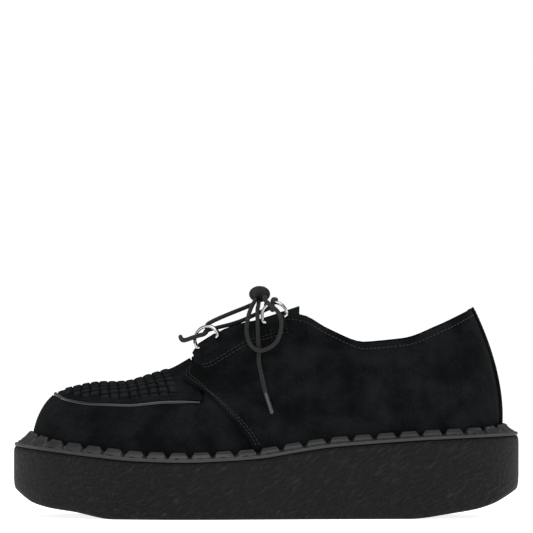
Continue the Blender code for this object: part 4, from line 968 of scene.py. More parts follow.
@dataclass(frozen=True)
class Suede:
    """Black suede with a short nap, mottled tone and faint scuffs; woven, with painted shade in the gaps and
    a painted highlight on the strips' crowns.
    """

    dark: Colour = (0.0030, 0.0034, 0.0036, 1.0)
    light: Colour = (0.0100, 0.0118, 0.0130, 1.0)
    # Colour of the scuffs, also mixed onto the woven strips' crowns as a painted highlight.
    scuff_and_highlight: Colour = (0.030, 0.033, 0.036, 1.0)
    # Painted shade: the dark colour put in the gaps between the woven strips.
    gap: Colour = (0.0012, 0.0012, 0.0013, 1.0)
    woven: bool = False

    def make(self) -> bpy.types.Material:
        """Builds the material."""
        paint = Paint("woven_black_suede" if self.woven else "black_suede")
        cloud = paint.noise(55.0, 4.0)
        nap = paint.noise(900.0, 4.0, rough=0.7)
        tone = paint.ramp(cloud * 0.6 + nap * 0.4, 0.38, 0.66)
        scuffs = paint.ramp(paint.noise(120.0, 6.0, paint.place(1.0, 1.0, 2.4), 0.75), 0.60, 0.78)
        base = paint.mix(scuffs * 0.45, paint.mix(tone, self.dark, self.light), self.scuff_and_highlight)
        if self.woven:
            strip = paint.node("ShaderNodeAttribute", {"attribute_name": "edge"}, out="Fac")
            # The "edge" value runs from 0 in the weave's gaps to 1 on the strips' crowns: painted shade
            # darkens the gaps and a painted highlight lightens the crowns.
            base = paint.mix(paint.ramp(strip, 0.05, 0.5), self.gap, base)
            base = paint.mix(paint.ramp(strip, 0.55, 1.0) * 0.35, base, self.scuff_and_highlight)
        paint.set(Base_Color=base, Roughness=0.93, Sheen_Weight=0.010,
                  Sheen_Roughness=0.5, Specular_IOR_Level=0.04)
        creases = paint.noise(70.0, 2.0, paint.place(1.0, 1.0, 0.5))
        fine = paint.noise(2600.0, 3.0, rough=0.8)
        paint.bump(creases * 1.2 + nap * 0.22 + fine * 0.10, 0.0011, 0.8)
        return paint.material


@dataclass(frozen=True)
class Crepe:
    """Crinkled crepe rubber with slanting wrinkles and small pimples, painted lighter on their raised parts
    as a highlight.
    """

    dark: Colour = (0.0040, 0.0040, 0.0045, 1.0)
    light: Colour = (0.0180, 0.0180, 0.0193, 1.0)

    def make(self) -> bpy.types.Material:
        """Builds the material."""
        paint = Paint("crepe_rubber")
        turned = paint.node("ShaderNodeMapping", {}, {0: paint.place(), "Rotation": (0.0, 0.62, 0.0)})
        long = paint.node("ShaderNodeVectorMath", {"operation": "MULTIPLY"}, {0: turned, 1: (0.32, 1.0, 1.0)})
        wrinkle = paint.noise(560.0, 5.0, long, 0.66)
        pebble = paint.node(
            "ShaderNodeTexVoronoi", {"feature": "SMOOTH_F1"}, {"Scale": 560.0, "Vector": paint.place()}
        )
        pimple = 1.0 - paint.ramp(pebble, 0.05, 0.36)
        patch = paint.ramp(paint.noise(38.0, 3.0), 0.44, 0.62)
        tone = paint.ramp(wrinkle, 0.42, 0.62)
        # Painted highlight: the colour follows the bumps, lighter on the wrinkles' ridges and on the pimples
        # in patches.
        paint.set(Base_Color=paint.mix(tone * 0.8 + pimple * patch * 0.6, self.dark, self.light),
                  Roughness=0.50 + wrinkle * 0.16, Specular_IOR_Level=0.22)
        paint.bump(paint.ramp(wrinkle, 0.38, 0.66) + pimple * patch * 0.6, 0.0018, 1.0)
        return paint.material


@dataclass(frozen=True)
class Rubber:
    """Smooth moulded rubber of the welt, with a painted highlight along its band and on the teeth's rims and
    painted shade at its inner foot.
    """

    dark: Colour = (0.010, 0.010, 0.0105, 1.0)
    light: Colour = (0.046, 0.046, 0.047, 1.0)

    def make(self) -> bpy.types.Material:
        """Builds the material."""
        paint = Paint("welt_rubber")
        edge = paint.node("ShaderNodeAttribute", {"attribute_name": "edge"}, out="Fac")
        grain = paint.noise(700.0, 3.0)
        # The "edge" value paints the light: high on the band's top and the teeth's proud rims as a painted
        # highlight, zero at the inner foot as painted shade.
        paint.set(Base_Color=paint.mix(edge * 0.8 + grain * 0.2, self.dark, self.light),
                  Roughness=0.36 + grain * 0.14, Coat_Weight=0.08, Coat_Roughness=0.3, Specular_IOR_Level=0.3)
        paint.bump(grain, 0.0002, 0.5)
        return paint.material


@dataclass(frozen=True)
class Plain:
    """A smooth or slightly grained finish of one tone."""

    name: str
    tone: Colour
    roughness: float
    metallic: float = 0.0
    coat: float = 0.0
    grain: float = 0.0001

    def make(self) -> bpy.types.Material:
        """Builds the material."""
        paint = Paint(self.name)
        grain = paint.noise(1400.0, 3.0)
        shade = tuple(c * 0.6 for c in self.tone[:3]) + (1.0,)
        rough = self.roughness - 0.04 + grain * 0.08
        paint.set(Base_Color=paint.mix(grain, shade, self.tone), Roughness=rough,
                  Metallic=self.metallic, Coat_Weight=self.coat, Coat_Roughness=0.15)
        paint.bump(grain, self.grain, 0.5)
        return paint.material


@dataclass(frozen=True)
class Braid:
    """Braided cotton: slanting yarns that cross, read from the lace's own lengthwise map, with a painted
    highlight on the yarns' crowns and painted shade between them.
    """

    dark: Colour = (0.004, 0.004, 0.004, 1.0)
    light: Colour = (0.046, 0.045, 0.044, 1.0)
    repeat: float = 0.0021
    strands: float = 6.0

    def make(self) -> bpy.types.Material:
        """Builds the material."""
        paint = Paint("lace_cotton")
        parts = paint.tree.nodes.new("ShaderNodeSeparateXYZ")
        paint.put(parts.inputs[0], paint.node("ShaderNodeUVMap", {"uv_map": "run"}))
        along, around = Value(paint, parts.outputs[0]), Value(paint, parts.outputs[1])
        turn = 2 * math.pi
        waves = []
        for sign in (1.0, -1.0):
            angle = along * (turn / self.repeat) + around * (sign * turn * self.strands)
            waves.append(paint.node("ShaderNodeMath", {"operation": "SINE"}, {0: angle}))
        height = waves[0] * waves[1] * 0.5 + 0.5
        fuzz = paint.noise(3200.0, 3.0)
        # Painted highlight and shade: the colour follows the braid's height, light on the yarns' crowns and
        # dark in the hollows; the fuzz adds random tone.
        tone = paint.ramp(height * 0.8 + fuzz * 0.4, 0.25, 0.95)
        paint.set(Base_Color=paint.mix(tone, self.dark, self.light), Roughness=0.78, Sheen_Weight=0.03,
                  Sheen_Roughness=0.4, Specular_IOR_Level=0.2)
        paint.bump(height + fuzz * 0.3, 0.00035, 0.8)
        return paint.material


@dataclass
class Finishes:
    """All materials of the shoe, by the record's slot."""

    made: dict[str, bpy.types.Material] = field(default_factory=dict)

    def __post_init__(self) -> None:
        """Builds every material once."""
        self.made = {
            "suede": Suede().make(),
            "woven_suede": Suede(woven=True).make(),
            "crepe_rubber": Crepe().make(),
            "welt_rubber": Rubber().make(),
            "lace_cotton": Braid().make(),
        }
        plain = (
            Plain("piping_leather", (0.014, 0.0145, 0.015, 1.0), 0.30, coat=0.25),
            Plain("lining_leather", (0.33, 0.17, 0.075, 1.0), 0.62, grain=0.0003),
            Plain("ring_steel", (0.74, 0.74, 0.74, 1.0), 0.20, metallic=1.0, grain=0.00002),
            Plain("aglet_plastic", (0.055, 0.056, 0.058, 1.0), 0.22, coat=0.5, grain=0.0),
            Plain("thread", (0.011, 0.012, 0.0135, 1.0), 0.7),
        )
        for finish in plain:
            self.made[finish.name] = finish.make()

    def __getitem__(self, slot: str) -> bpy.types.Material:
        """Material of a slot."""
        return self.made[slot]


# Mesh building


class Skin:
    """Collects the faces of one closed piece, with an optional value at each point."""

    def __init__(self) -> None:
        """Starts empty."""
        self.points: list[tuple[float, float, float]] = []
        self.values: list[float] = []
        self.known: dict[tuple[int, int, int], int] = {}
        self.faces: list[list[int]] = []

    def add(self, point: Array, value: float = 0.0) -> int:
        """Adds a point, or finds the one that is already there."""
        key = tuple(int(round(c * 2e7)) for c in point)
        if key not in self.known:
            self.known[key] = len(self.points)
            self.points.append(tuple(float(c) for c in point))
            self.values.append(value)
        return self.known[key]

    def face(self, corners: Iterable[int]) -> None:
        """Adds a face without repeated corners."""
        loop = list(dict.fromkeys(corners))
        if len(loop) >= 3:
            self.faces.append(loop)

    def grid(self, rows: list, closed: bool = False, values: list | None = None) -> list[list[int]]:
        """Quads over rows of points.

        Args:
            rows: rows of points of equal count.
            closed: whether each row closes on itself.
            values: a value for each point.

        Returns:
            The points' numbers, row by row.
        """
        marks = []
        for i, row in enumerate(rows):
            marks.append([self.add(p, values[i][j] if values else 0.0) for j, p in enumerate(row)])
        for low, high in zip(marks, marks[1:]):
            count = len(low) if closed else len(low) - 1
            for i in range(count):
                j = (i + 1) % len(low)
                self.face((low[i], low[j], high[j], high[i]))
        return marks

    def rim(self, inside: list[list[int]], outside: list[list[int]]) -> None:
        """Closes the four borders between two grids."""
        for row in (0, -1):
            for c in range(len(inside[row]) - 1):
                self.face((inside[row][c], inside[row][c + 1], outside[row][c + 1], outside[row][c]))
        for c in (0, -1):
            for r in range(len(inside) - 1):
                self.face((inside[r][c], inside[r + 1][c], outside[r + 1][c], outside[r][c]))

    def build(self, name: str, look: bpy.types.Material, angle: float = 60.0) -> bpy.types.Object:
        """Makes the object, with its faces turned out.

        Args:
            name: the piece's name.
            look: its material.
            angle: faces that meet at more than this angle, in degrees, keep a crisp edge.

        Returns:
            The object.
        """
        mesh = bpy.data.meshes.new(name)
        mesh.from_pydata(self.points, [], self.faces)
        # The point values go into the "edge" attribute, which the welt's and the woven apron's finishes turn
        # into painted highlight and shade.
        tone = mesh.attributes.new("edge", "FLOAT", "POINT")
        tone.data.foreach_set("value", self.values)
        work = bmesh.new()
        work.from_mesh(mesh)
        bmesh.ops.recalc_face_normals(work, faces=work.faces[:])
        if work.calc_volume(signed=True) < 0:
            bmesh.ops.reverse_faces(work, faces=work.faces[:])
        work.to_mesh(mesh)
        work.free()
        mesh.shade_smooth()
        mesh.set_sharp_from_angle(angle=math.radians(angle))
        obj = bpy.data.objects.new(name, mesh)
        bpy.context.scene.collection.objects.link(obj)
        mesh.materials.append(look)
        return obj


def tube(name: str, look: bpy.types.Material, route: list, radius: object, sides: int = 14,
         closed: bool = False) -> bpy.types.Object:
    """Round tube along a route, with a map that runs along it and round it.

    Args:
        name: the piece's name.
        look: its material.
        route: points of the centre line.
        radius: one radius, or one for each point.
        sides: faces round the tube.
        closed: whether the route closes on itself.

    Returns:
        The object.
    """
    route = [np.array(p, float) for p in route]
    count = len(route)
    radii = [radius] * count if isinstance(radius, float) else radius
    points, rings = [], []
    normal = None
    frames = []
    for i, point in enumerate(route):
        before = route[i - 1] if i > 0 or closed else route[i]
        after = route[(i + 1) % count] if i < count - 1 or closed else route[i]
        along = unit(after - before)
        if normal is None:
            hint = UP if abs(along[2]) < 0.9 else np.array((1.0, 0.0, 0.0))
            normal = unit(np.cross(along, hint))
        normal = unit(normal - along * np.dot(normal, along))
        frames.append((point, normal, np.cross(along, normal)))
        rings.append(list(range(i * sides, (i + 1) * sides)))
        turns = [2 * math.pi * k / sides for k in range(sides)]
        points += [point + radii[i] * (math.cos(a) * normal + math.sin(a) * frames[-1][2]) for a in turns]
    run = np.concatenate(([0.0], np.cumsum(np.linalg.norm(np.diff(np.array(route), axis=0), axis=1))))
    faces, maps = [], []
    legs = count if closed else count - 1
    for i in range(legs):
        j = (i + 1) % count
        far = run[j] if j else run[-1] + float(np.linalg.norm(route[0] - route[-1]))
        shift = 0
        if closed and j == 0:
            gaps = [float(np.linalg.norm(points[rings[i][0]] - points[rings[0][k]])) for k in range(sides)]
            shift = int(np.argmin(gaps))
        for k in range(sides):
            m = (k + 1) % sides
            ahead, beside = rings[j][(m + shift) % sides], rings[j][(k + shift) % sides]
            faces.append((rings[i][k], rings[i][m], ahead, beside))
            low, high = k / sides, (k + 1) / sides
            maps += [(run[i], low), (run[i], high), (far, high), (far, low)]
    if not closed:
        for ring, place in ((rings[0][::-1], run[0]), (rings[-1], run[-1])):
            faces.append(tuple(ring))
            maps += [(place, 0.5)] * sides
    mesh = bpy.data.meshes.new(name)
    mesh.from_pydata([tuple(p) for p in points], [], faces)
    layer = mesh.uv_layers.new(name="run")
    layer.data.foreach_set("uv", [c for pair in maps for c in pair])
    work = bmesh.new()
    work.from_mesh(mesh)
    bmesh.ops.recalc_face_normals(work, faces=work.faces[:])
    work.to_mesh(mesh)
    work.free()
    mesh.shade_smooth()
    mesh.set_sharp_from_angle(angle=math.radians(60.0))
    obj = bpy.data.objects.new(name, mesh)
    bpy.context.scene.collection.objects.link(obj)
    mesh.materials.append(look)
    return obj


def settle(obj: bpy.types.Object, slot: str, *nodes: str) -> bpy.types.Object:
    """Attaches a finished piece so that it rides the shoe, and hides the CAD nodes it stands for."""
    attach(obj, "root")
    if nodes:
        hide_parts(*nodes)
    LOG.info("%s: %d faces", obj.name, len(obj.data.polygons))
    return obj


@dataclass
class Stitching:
    """Rows of even stitches that follow a path, laid by Geometry Nodes."""

    pitch: float = 0.0024
    length: float = 0.0018
    radius: float = 0.00030
    sides: int = 6

    def single(self) -> bpy.types.Object:
        """One stitch, a small capsule along Z."""
        skin = Skin()
        rows = []
        for share, width in ((-0.5, 0.01), (-0.42, 0.7), (-0.2, 1.0), (0.2, 1.0), (0.42, 0.7), (0.5, 0.01)):
            turns = [2 * math.pi * k / self.sides for k in range(self.sides)]
            reach = self.radius * width
            row = [np.array((reach * math.cos(a), reach * math.sin(a), share * self.length)) for a in turns]
            rows.append(row)
        marks = skin.grid(rows, closed=True)
        skin.face(marks[0])
        skin.face(marks[-1][::-1])
        return skin.build("stitch", None, 90.0)

    def tree(self) -> bpy.types.NodeTree:
        """Node tree with the named inputs Path, Stitch, Pitch and Thread."""
        tree = bpy.data.node_groups.new("stitch_rows", "GeometryNodeTree")
        face = tree.interface
        face.new_socket("Path", in_out="INPUT", socket_type="NodeSocketGeometry")
        face.new_socket("Stitch", in_out="INPUT", socket_type="NodeSocketObject")
        face.new_socket("Pitch", in_out="INPUT", socket_type="NodeSocketFloat")
        face.new_socket("Thread", in_out="INPUT", socket_type="NodeSocketMaterial")
        face.new_socket("Rows", in_out="OUTPUT", socket_type="NodeSocketGeometry")
        new, link = tree.nodes.new, tree.links.new
        ends, out = new("NodeGroupInput"), new("NodeGroupOutput")
        curve, spread = new("GeometryNodeMeshToCurve"), new("GeometryNodeCurveToPoints")
        spread.mode = "LENGTH"
        source, lay = new("GeometryNodeObjectInfo"), new("GeometryNodeInstanceOnPoints")
        real, dress = new("GeometryNodeRealizeInstances"), new("GeometryNodeSetMaterial")
        link(ends.outputs["Path"], curve.inputs["Mesh"])
        link(curve.outputs["Curve"], spread.inputs["Curve"])
        link(ends.outputs["Pitch"], spread.inputs["Length"])
        link(ends.outputs["Stitch"], source.inputs["Object"])
        link(spread.outputs["Points"], lay.inputs["Points"])
        link(spread.outputs["Rotation"], lay.inputs["Rotation"])
        link(source.outputs["Geometry"], lay.inputs["Instance"])
        link(lay.outputs["Instances"], real.inputs["Geometry"])
        link(real.outputs["Geometry"], dress.inputs["Geometry"])
        link(ends.outputs["Thread"], dress.inputs["Material"])
        link(dress.outputs["Geometry"], out.inputs["Rows"])
        return tree

    def sew(self, name: str, paths: list, thread: bpy.types.Material) -> bpy.types.Object:
        """Lays stitches along paths.

        Args:
            name: the piece's name.
            paths: rows of points.
            thread: the thread's material.

        Returns:
            A plain mesh of all stitches.
        """
        points, edges = [], []
        for path in paths:
            start = len(points)
            points += [tuple(float(c) for c in p) for p in path]
            edges += [(start + i, start + i + 1) for i in range(len(path) - 1)]
        line = bpy.data.meshes.new(name + "_path")
        line.from_pydata(points, edges, [])
        carrier = bpy.data.objects.new(name + "_path", line)
        bpy.context.scene.collection.objects.link(carrier)
        stitch = self.single()
        modifier = carrier.modifiers.new("stitches", "NODES")
        modifier.node_group = self.tree()
        values = {"Stitch": stitch, "Pitch": self.pitch, "Thread": thread}
        for item in modifier.node_group.interface.items_tree:
            if item.item_type == "SOCKET" and item.in_out == "INPUT" and item.name in values:
                modifier[item.identifier] = values[item.name]
        bpy.context.view_layer.update()
        graph = bpy.context.evaluated_depsgraph_get()
        mesh = bpy.data.meshes.new_from_object(carrier.evaluated_get(graph))
        carrier.modifiers.remove(modifier)
        for spare in (carrier, stitch):
            bpy.data.objects.remove(spare, do_unlink=True)
        mesh.name = name
        mesh.materials.clear()
        mesh.materials.append(thread)
        mesh.shade_smooth()
        obj = bpy.data.objects.new(name, mesh)
        bpy.context.scene.collection.objects.link(obj)
        return obj


# Sub-assemblies


@dataclass
class Studio:
    """Camera, lights and backdrop of a plain catalogue picture."""

    distance: float = 4.0
    height: float = 0.1484
    lens: float = 455.0
    reach: float = 14.0
    glow: float = 0.25
    lamps: tuple = (
        ("key", (-0.9, -1.3, 1.5), 1.2, 8.0),
        ("front", (0.5, -2.2, 0.9), 1.6, 6.0),
        ("top", (0.0, 0.1, 1.6), 1.2, 9.0),
        ("rim_heel", (1.3, -0.3, 0.8), 0.6, 5.0),
        ("rim_toe", (-1.3, 0.4, 0.6), 0.8, 2.0),
    )

    def camera(self) -> None:
        """Places the camera."""
        data = bpy.data.cameras.new("camera")
        data.lens = self.lens
        data.sensor_width = 36.0
        data.clip_end = 50.0
        obj = bpy.data.objects.new("camera", data)
        obj.location = (0.0003, -self.distance, self.height)
        obj.rotation_euler = (math.radians(90.0), 0.0, 0.0)
        bpy.context.scene.collection.objects.link(obj)
        bpy.context.scene.camera = obj

    def light(self) -> None:
        """Places the lamps and the pale surroundings."""
        for name, place, size, power in self.lamps:
            data = bpy.data.lights.new(name, "AREA")
            data.shape = "DISK"
            data.size = size
            data.energy = power
            obj = bpy.data.objects.new(name, data)
            obj.location = place
            aim = Vector((0.0, 0.0, 0.05)) - Vector(place)
            obj.rotation_euler = aim.to_track_quat("-Z", "Y").to_euler()
            bpy.context.scene.collection.objects.link(obj)
        world = bpy.data.worlds.new("studio")
        world.use_nodes = True
        back = world.node_tree.nodes["Background"]
        back.inputs["Color"].default_value = (1.0, 1.0, 1.0, 1.0)
        ray = world.node_tree.nodes.new("ShaderNodeLightPath")
        level = world.node_tree.nodes.new("ShaderNodeMath")
        level.operation = "MULTIPLY_ADD"
        world.node_tree.links.new(ray.outputs["Is Camera Ray"], level.inputs[0])
        level.inputs[1].default_value = 1.0 - self.glow
        level.inputs[2].default_value = self.glow
        world.node_tree.links.new(level.outputs[0], back.inputs["Strength"])
        bpy.context.scene.world = world
        bpy.context.scene.view_settings.view_transform = "Standard"

    def floor(self) -> None:
        """Pale floor under the shoe."""
        skin = Skin()
        rows = []
        for y in (-self.reach, self.reach):
            rows.append([np.array((x, y, 0.0)) for x in (-self.reach, self.reach)])
        skin.grid(rows)
        paint = Paint("backdrop")
        paint.set(Base_Color=(0.95, 0.95, 0.95, 1.0), Roughness=0.9, Emission_Color=(1.0, 1.0, 1.0, 1.0),
                  Emission_Strength=0.85)
        obj = skin.build("backdrop", paint.material, 80.0)


@dataclass
class Sole:
    """Crepe outsole with rounded edges, the crown welt on it and its stitches."""

    finishes: Finishes
    columns: int = 200
    per_tooth: int = 22
    rim: float = 0.0010

    def outsole(self) -> None:
        """Builds the outsole."""
        edge = SOLE_EDGE
        profile = [(0.0, 2.2 * edge), (0.0, 1.3 * edge), (0.02, 0.75 * edge), (0.06, 0.40 * edge),
                   (0.13, 0.15 * edge), (0.25, 0.0), (0.45, 0.0), (0.65, 0.0), (0.86, 0.0),
                   (0.94, 0.12 * edge), (0.985, 0.45 * edge), (1.0, 0.95 * edge)]
        shares = np.linspace(0.0, 1.0, self.columns + 1)
        loop = [(LATERAL, s) for s in shares] + [(MEDIAL, s) for s in reversed(shares[1:-1])]
        skin = Skin()
        rows = []
        for height, inset in profile:
            row = []
            for side, share in loop:
                edge_point = PLAN.point(side, share)
                place = edge_point - PLAN.outward(side, share) * inset
                low, high = sole_under(edge_point[0]), sole_top(edge_point[0])
                place[2] = low + (high - low) * height
                row.append(place)
            rows.append(row)
        marks = skin.grid(rows, closed=True)
        for ring in (marks[0], marks[-1]):
            count = len(ring)
            for i in range(self.columns):
                skin.face((ring[i], ring[i + 1], ring[(count - i - 1) % count], ring[(count - i) % count]))
        settle(skin.build("crepe_outsole", self.finishes["crepe_rubber"], 45.0), "crepe_rubber", "outsole")

    def section(self, side: float, share: float, place: float) -> tuple[list, list, Array]:
        """Cross-section of the welt at a place within a tooth.

        Args:
            side: lateral or medial.
            share: share of the way from toe to heel.
            place: 0 to 1 across one tooth.

        Returns:
            The section's points, their values of painted highlight and shade and the foot of a tooth's
            stitch.
        """
        slope = min(max((place - 0.04) / 0.175, 0.0), max((0.96 - place) / 0.175, 0.0), 1.0)
        outward = PLAN.outward(side, share)
        edge = PLAN.point(side, share)
        end = CROWN_TOE_RISE if outward[0] < 0 else CROWN_HEEL_RISE
        crown = CROWN_SIDE_RISE + (end - CROWN_SIDE_RISE) * outward[0] ** 2 - TOOTH_DEPTH * (1 - slope)
        base = sole_top(edge[0]) + LAYER_GAP
        top = base + crown
        foot = upper_distance(side, share, sole_top(edge[0]) + 2 * LAYER_GAP)
        lean = min(upper_distance(side, share, top + k * crown / 4) for k in range(-4, 1))
        inner = min(foot, lean)
        near, far = BAND_INSET + BAND_WIDTH, inner - TOOTH_THICKNESS
        # The third number of each point is painted light: 1 for the highlight along the band's top, 0 for the
        # shade at the inner foot.
        section = [(BAND_INSET, base, 0.5), (BAND_INSET, base + 0.6 * BAND_HEIGHT, 1.0),
                   (BAND_INSET + 0.12 * BAND_WIDTH, base + 0.9 * BAND_HEIGHT, 1.0),
                   (BAND_INSET + 0.4 * BAND_WIDTH, base + BAND_HEIGHT, 1.0),
                   (BAND_INSET + 0.85 * BAND_WIDTH, base + BAND_HEIGHT, 0.7)]
        rise = top - base - BAND_HEIGHT
        side_gap = min(place - 0.04, 0.96 - place) * TOOTH_PITCH
        for step in range(1, 9):
            up = step / 8
            border = min((1 - up) * rise * 1.25, side_gap - up * 0.0012 if side_gap > 0 else -1.0)
            proud = 1 - smooth(border / self.rim - 0.35) if border > 0 else 0.25
            panel = smooth(up * 2.5)
            bulge = 0.00028 * proud * panel - 0.0002 * (1 - proud) * panel
            distance = near + (far - near) * up - bulge
            # The tooth's proud rim is painted lighter, a painted highlight.
            section.append((distance, base + BAND_HEIGHT + rise * up + bulge, 0.05 + 0.40 * proud * panel))
        section += [(far + 0.35 * TOOTH_THICKNESS, top + 0.00012, 0.5), (inner, top, 0.3), (inner, base, 0.0)]
        points = [edge - outward * d + UP * z for d, z, _ in section]
        mark = edge - outward * (near + (far - near) * 0.10) + UP * (base + BAND_HEIGHT + rise * 0.12)
        return points, [v for _, _, v in section], mark

    def welt(self) -> None:
        """Builds the crown welt and the bright bump under each tooth."""
        profile, values, marks = [], [], []
        for _, side in SIDES:
            run = PLAN.length[side][-1]
            teeth = int(round(run / TOOTH_PITCH))
            pitch = run / teeth
            places = [(t, k / self.per_tooth) for t in range(teeth) for k in range(self.per_tooth)]
            leg = []
            for tooth, place in places:
                share = float(PLAN.even_shares(side, [(tooth + place + 0.5 / self.per_tooth) * pitch])[0])
                points, tones, mark = self.section(side, share, place + 0.5 / self.per_tooth)
                leg.append((points, tones))
                if self.per_tooth // 2 - 2 <= place * self.per_tooth <= self.per_tooth // 2 + 1:
                    marks.append((side, tooth, mark))
            leg = leg if side == LATERAL else leg[::-1]
            profile += [points for points, _ in leg]
            values += [tones for _, tones in leg]
        skin = Skin()
        rows = [[ring[k] for ring in profile] for k in range(len(profile[0]))]
        tones = [[ring[k] for ring in values] for k in range(len(profile[0]))]
        # The tones become the "edge" attribute of painted highlight and shade.
        skin.grid(rows + [rows[0]], closed=True, values=tones + [tones[0]])
        settle(skin.build("crown_welt_rim", self.finishes["welt_rubber"], 50.0), "welt_rubber", "crown_welt")
        paths: dict = {}
        for side, tooth, mark in marks:
            paths.setdefault((side, tooth), []).append(mark)
        bumps = Stitching(pitch=0.05, length=0.0030, radius=0.00042)
        obj = bumps.sew("welt_stitches", list(paths.values()), self.finishes["welt_rubber"])
        settle(obj, "welt_rubber")


@dataclass
class Body:
    """Upper, lining, quarters, heel strip, piping, tongue and their stitches."""

    finishes: Finishes
    vamp_columns: int = 60
    throat_columns: int = 28
    collar_columns: int = 48

    def columns(self) -> list[float]:
        """Fine shares from toe to heel."""
        vamp = np.linspace(0.0, THROAT_SHARE, self.vamp_columns + 1)
        throat = np.linspace(THROAT_SHARE, COLLAR_SHARE, self.throat_columns + 1)
        collar = np.linspace(COLLAR_SHARE, 1.0, self.collar_columns + 1)
        return [*vamp, *throat[1:], *collar[1:]]

    def profile(self, side: float, share: float) -> list[tuple[float, float]]:
        """Rises and depths of the upper's face, with the groove for the apron."""
        if share > THROAT_SHARE + 1e-9:
            low = piping_rise(side, THROAT_SHARE)
            seat = [low, low + 0.004]
            depth = [0.0, 0.0]
        else:
            middle = piping_rise(side, share)
            edge = rise_step(side, share, middle, PIPING_RADIUS + 2 * LAYER_GAP)
            seat = [middle - edge, middle - edge + 0.004]
            depth = [0.0, APRON_LAYER]
        below = [(seat[0] * k / 16, 0.0) for k in range(16)]
        above = [(seat[1] + (1 - seat[1]) * k / 16, depth[1]) for k in range(1, 17)]
        return below + list(zip(seat, depth)) + above

    def shell(self) -> None:
        """Builds the hollow upper, closed along its foot and along its top edge behind the vamp."""
        skin = Skin()
        columns = self.columns()
        rows = len(self.profile(LATERAL, 0.0))
        for _, side in SIDES:
            marks = []
            for wall in (0.0, UPPER_WALL):
                grid = []
                for r in range(rows):
                    row = []
                    for share in columns:
                        rise, depth = self.profile(side, share)[r]
                        row.append(layer_point(side, share, rise, -depth - wall))
                    grid.append(row)
                marks.append(skin.grid(grid))
            for row, start in ((0, 0), (rows - 1, self.vamp_columns)):
                for c in range(start, len(columns) - 1):
                    outer, inner = marks[0][row], marks[1][row]
                    skin.face((outer[c], outer[c + 1], inner[c + 1], inner[c]))
        settle(skin.build("suede_upper", self.finishes["suede"]), "suede", "upper")

    def lining(self) -> None:
        """Builds the lining that shows inside the collar."""
        columns = [s for s in self.columns() if s >= COLLAR_SHARE - 0.02]
        for name, side in SIDES:
            skin = Skin()
            sheets = []
            for depth in (UPPER_WALL + 0.00015, UPPER_WALL + 0.00065):
                rows = []
                for rise in np.linspace(0.25, 0.997, 14):
                    rows.append([layer_point(side, s, float(rise), -depth) for s in columns])
                sheets.append(skin.grid(rows))
            skin.rim(*sheets)
            settle(skin.build(f"lining_{name}", self.finishes["lining_leather"]), "lining_leather")

    def quarter_rises(self, side: float) -> list[float]:
        """Rises of a quarter's fine rows."""
        low = piping_rise(side, THROAT_SHARE)
        rises = (*np.linspace(0.0, low, 16), *np.linspace(low + 0.015, 0.97, 14), 0.985, 0.993, LAST_TOP)
        return [float(r) for r in rises]

    def quarter(self, name: str, side: float) -> None:
        """Builds one quarter with a rounded, slightly swollen front and top edge."""
        skin = Skin()
        end = 1 - LAYER_GAP * 0.75 / PLAN.length[side][-1]
        run = PLAN.length[side][-1]
        near_edge = [0.0, 0.0002, 0.0006, 0.0012, 0.0020, 0.0030]
        rests = [s for s in self.columns() if s > 0.30]
        sheets = []
        rises = self.quarter_rises(side) + [1.0]
        for skin_number in (0, 1):
            rows = []
            for index, rise in enumerate(rises):
                front = quarter_front(side, rise)
                shares = [min(front + d / run, end) for d in near_edge]
                shares += [min(max(s, front + (near_edge[-1] + 0.0004 * (k + 1)) / run), end)
                           for k, s in enumerate(rests)]
                row = []
                for k, share in enumerate(shares):
                    offset = LAYER_GAP
                    if skin_number:
                        gap = (share - front) * run
                        swell = 1.0 + 0.12 * (1 - smooth(gap / 0.004))
                        round_front = smooth(min(gap / 0.0007, 1.0)) * swell
                        offset = LAYER_GAP + QUARTER_THICKNESS * (0.35 + 0.65 * round_front)
                        if rise >= 1.0:
                            offset = LAYER_GAP + QUARTER_THICKNESS * 0.7
                    row.append(quarter_point(side, share, rise, offset))
                rows.append(row)
            sheets.append(skin.grid(rows))
        skin.rim(*sheets)
        settle(skin.build(f"suede_quarter_{name}", self.finishes["suede"], 50.0), "suede", f"quarter_{name}")

    def quarter_line(self, side: float, setback: float, low: float, high: float) -> list:
        """Path behind a quarter's front edge, on its face."""
        run = PLAN.length[side][-1]
        path = []
        for rise in np.linspace(low, high, 60):
            share = quarter_front(side, float(rise)) + setback / run
            path.append(quarter_point(side, share, float(rise), QUARTER_LAYER + 0.00012))
        return path

    def facing_line(self, side: float, drop: float, start: float, stop: float) -> list:
        """Path below the facing edge and the collar, on the quarter's face."""
        path = []
        for share in np.linspace(start, stop, 120):
            rise = 1.0 - rise_step(side, float(share), 0.96, drop)
            path.append(quarter_point(side, float(share), min(rise, 0.998), QUARTER_LAYER + 0.00012))
        return path

    def seams(self) -> None:
        """Sews the double rows on the quarters and the rows at the facing, the collar and the heel."""
        paths = []
        for _, side in SIDES:
            paths.append(self.quarter_line(side, 0.0026, 0.12, 0.80))
            paths.append(self.quarter_line(side, 0.0046, 0.12, 0.80))
            start = THROAT_SHARE + TAB_SETBACK + 0.014
            paths.append(self.facing_line(side, 0.0085, start, COLLAR_SHARE))
            paths.append(self.facing_line(side, 0.0105, start, COLLAR_SHARE))
            paths.append(self.facing_line(side, 0.0028, COLLAR_SHARE, 0.955))
            for away in (0.0012,):
                row = []
                for rise in np.linspace(0.12, 0.97, 60):
                    width = HEEL_STRIP_HALF * (1.1 - 0.35 * rise) - away
                    share = 1 - width / PLAN.length[side][-1]
                    offset = QUARTER_LAYER + LAYER_GAP + HEEL_STRIP_THICKNESS + 0.0001
                    row.append(quarter_point(side, share, float(rise), offset))
                paths.append(row)
        obj = Stitching().sew("suede_stitches", paths, self.finishes["thread"])
        settle(obj, "lace_cotton")

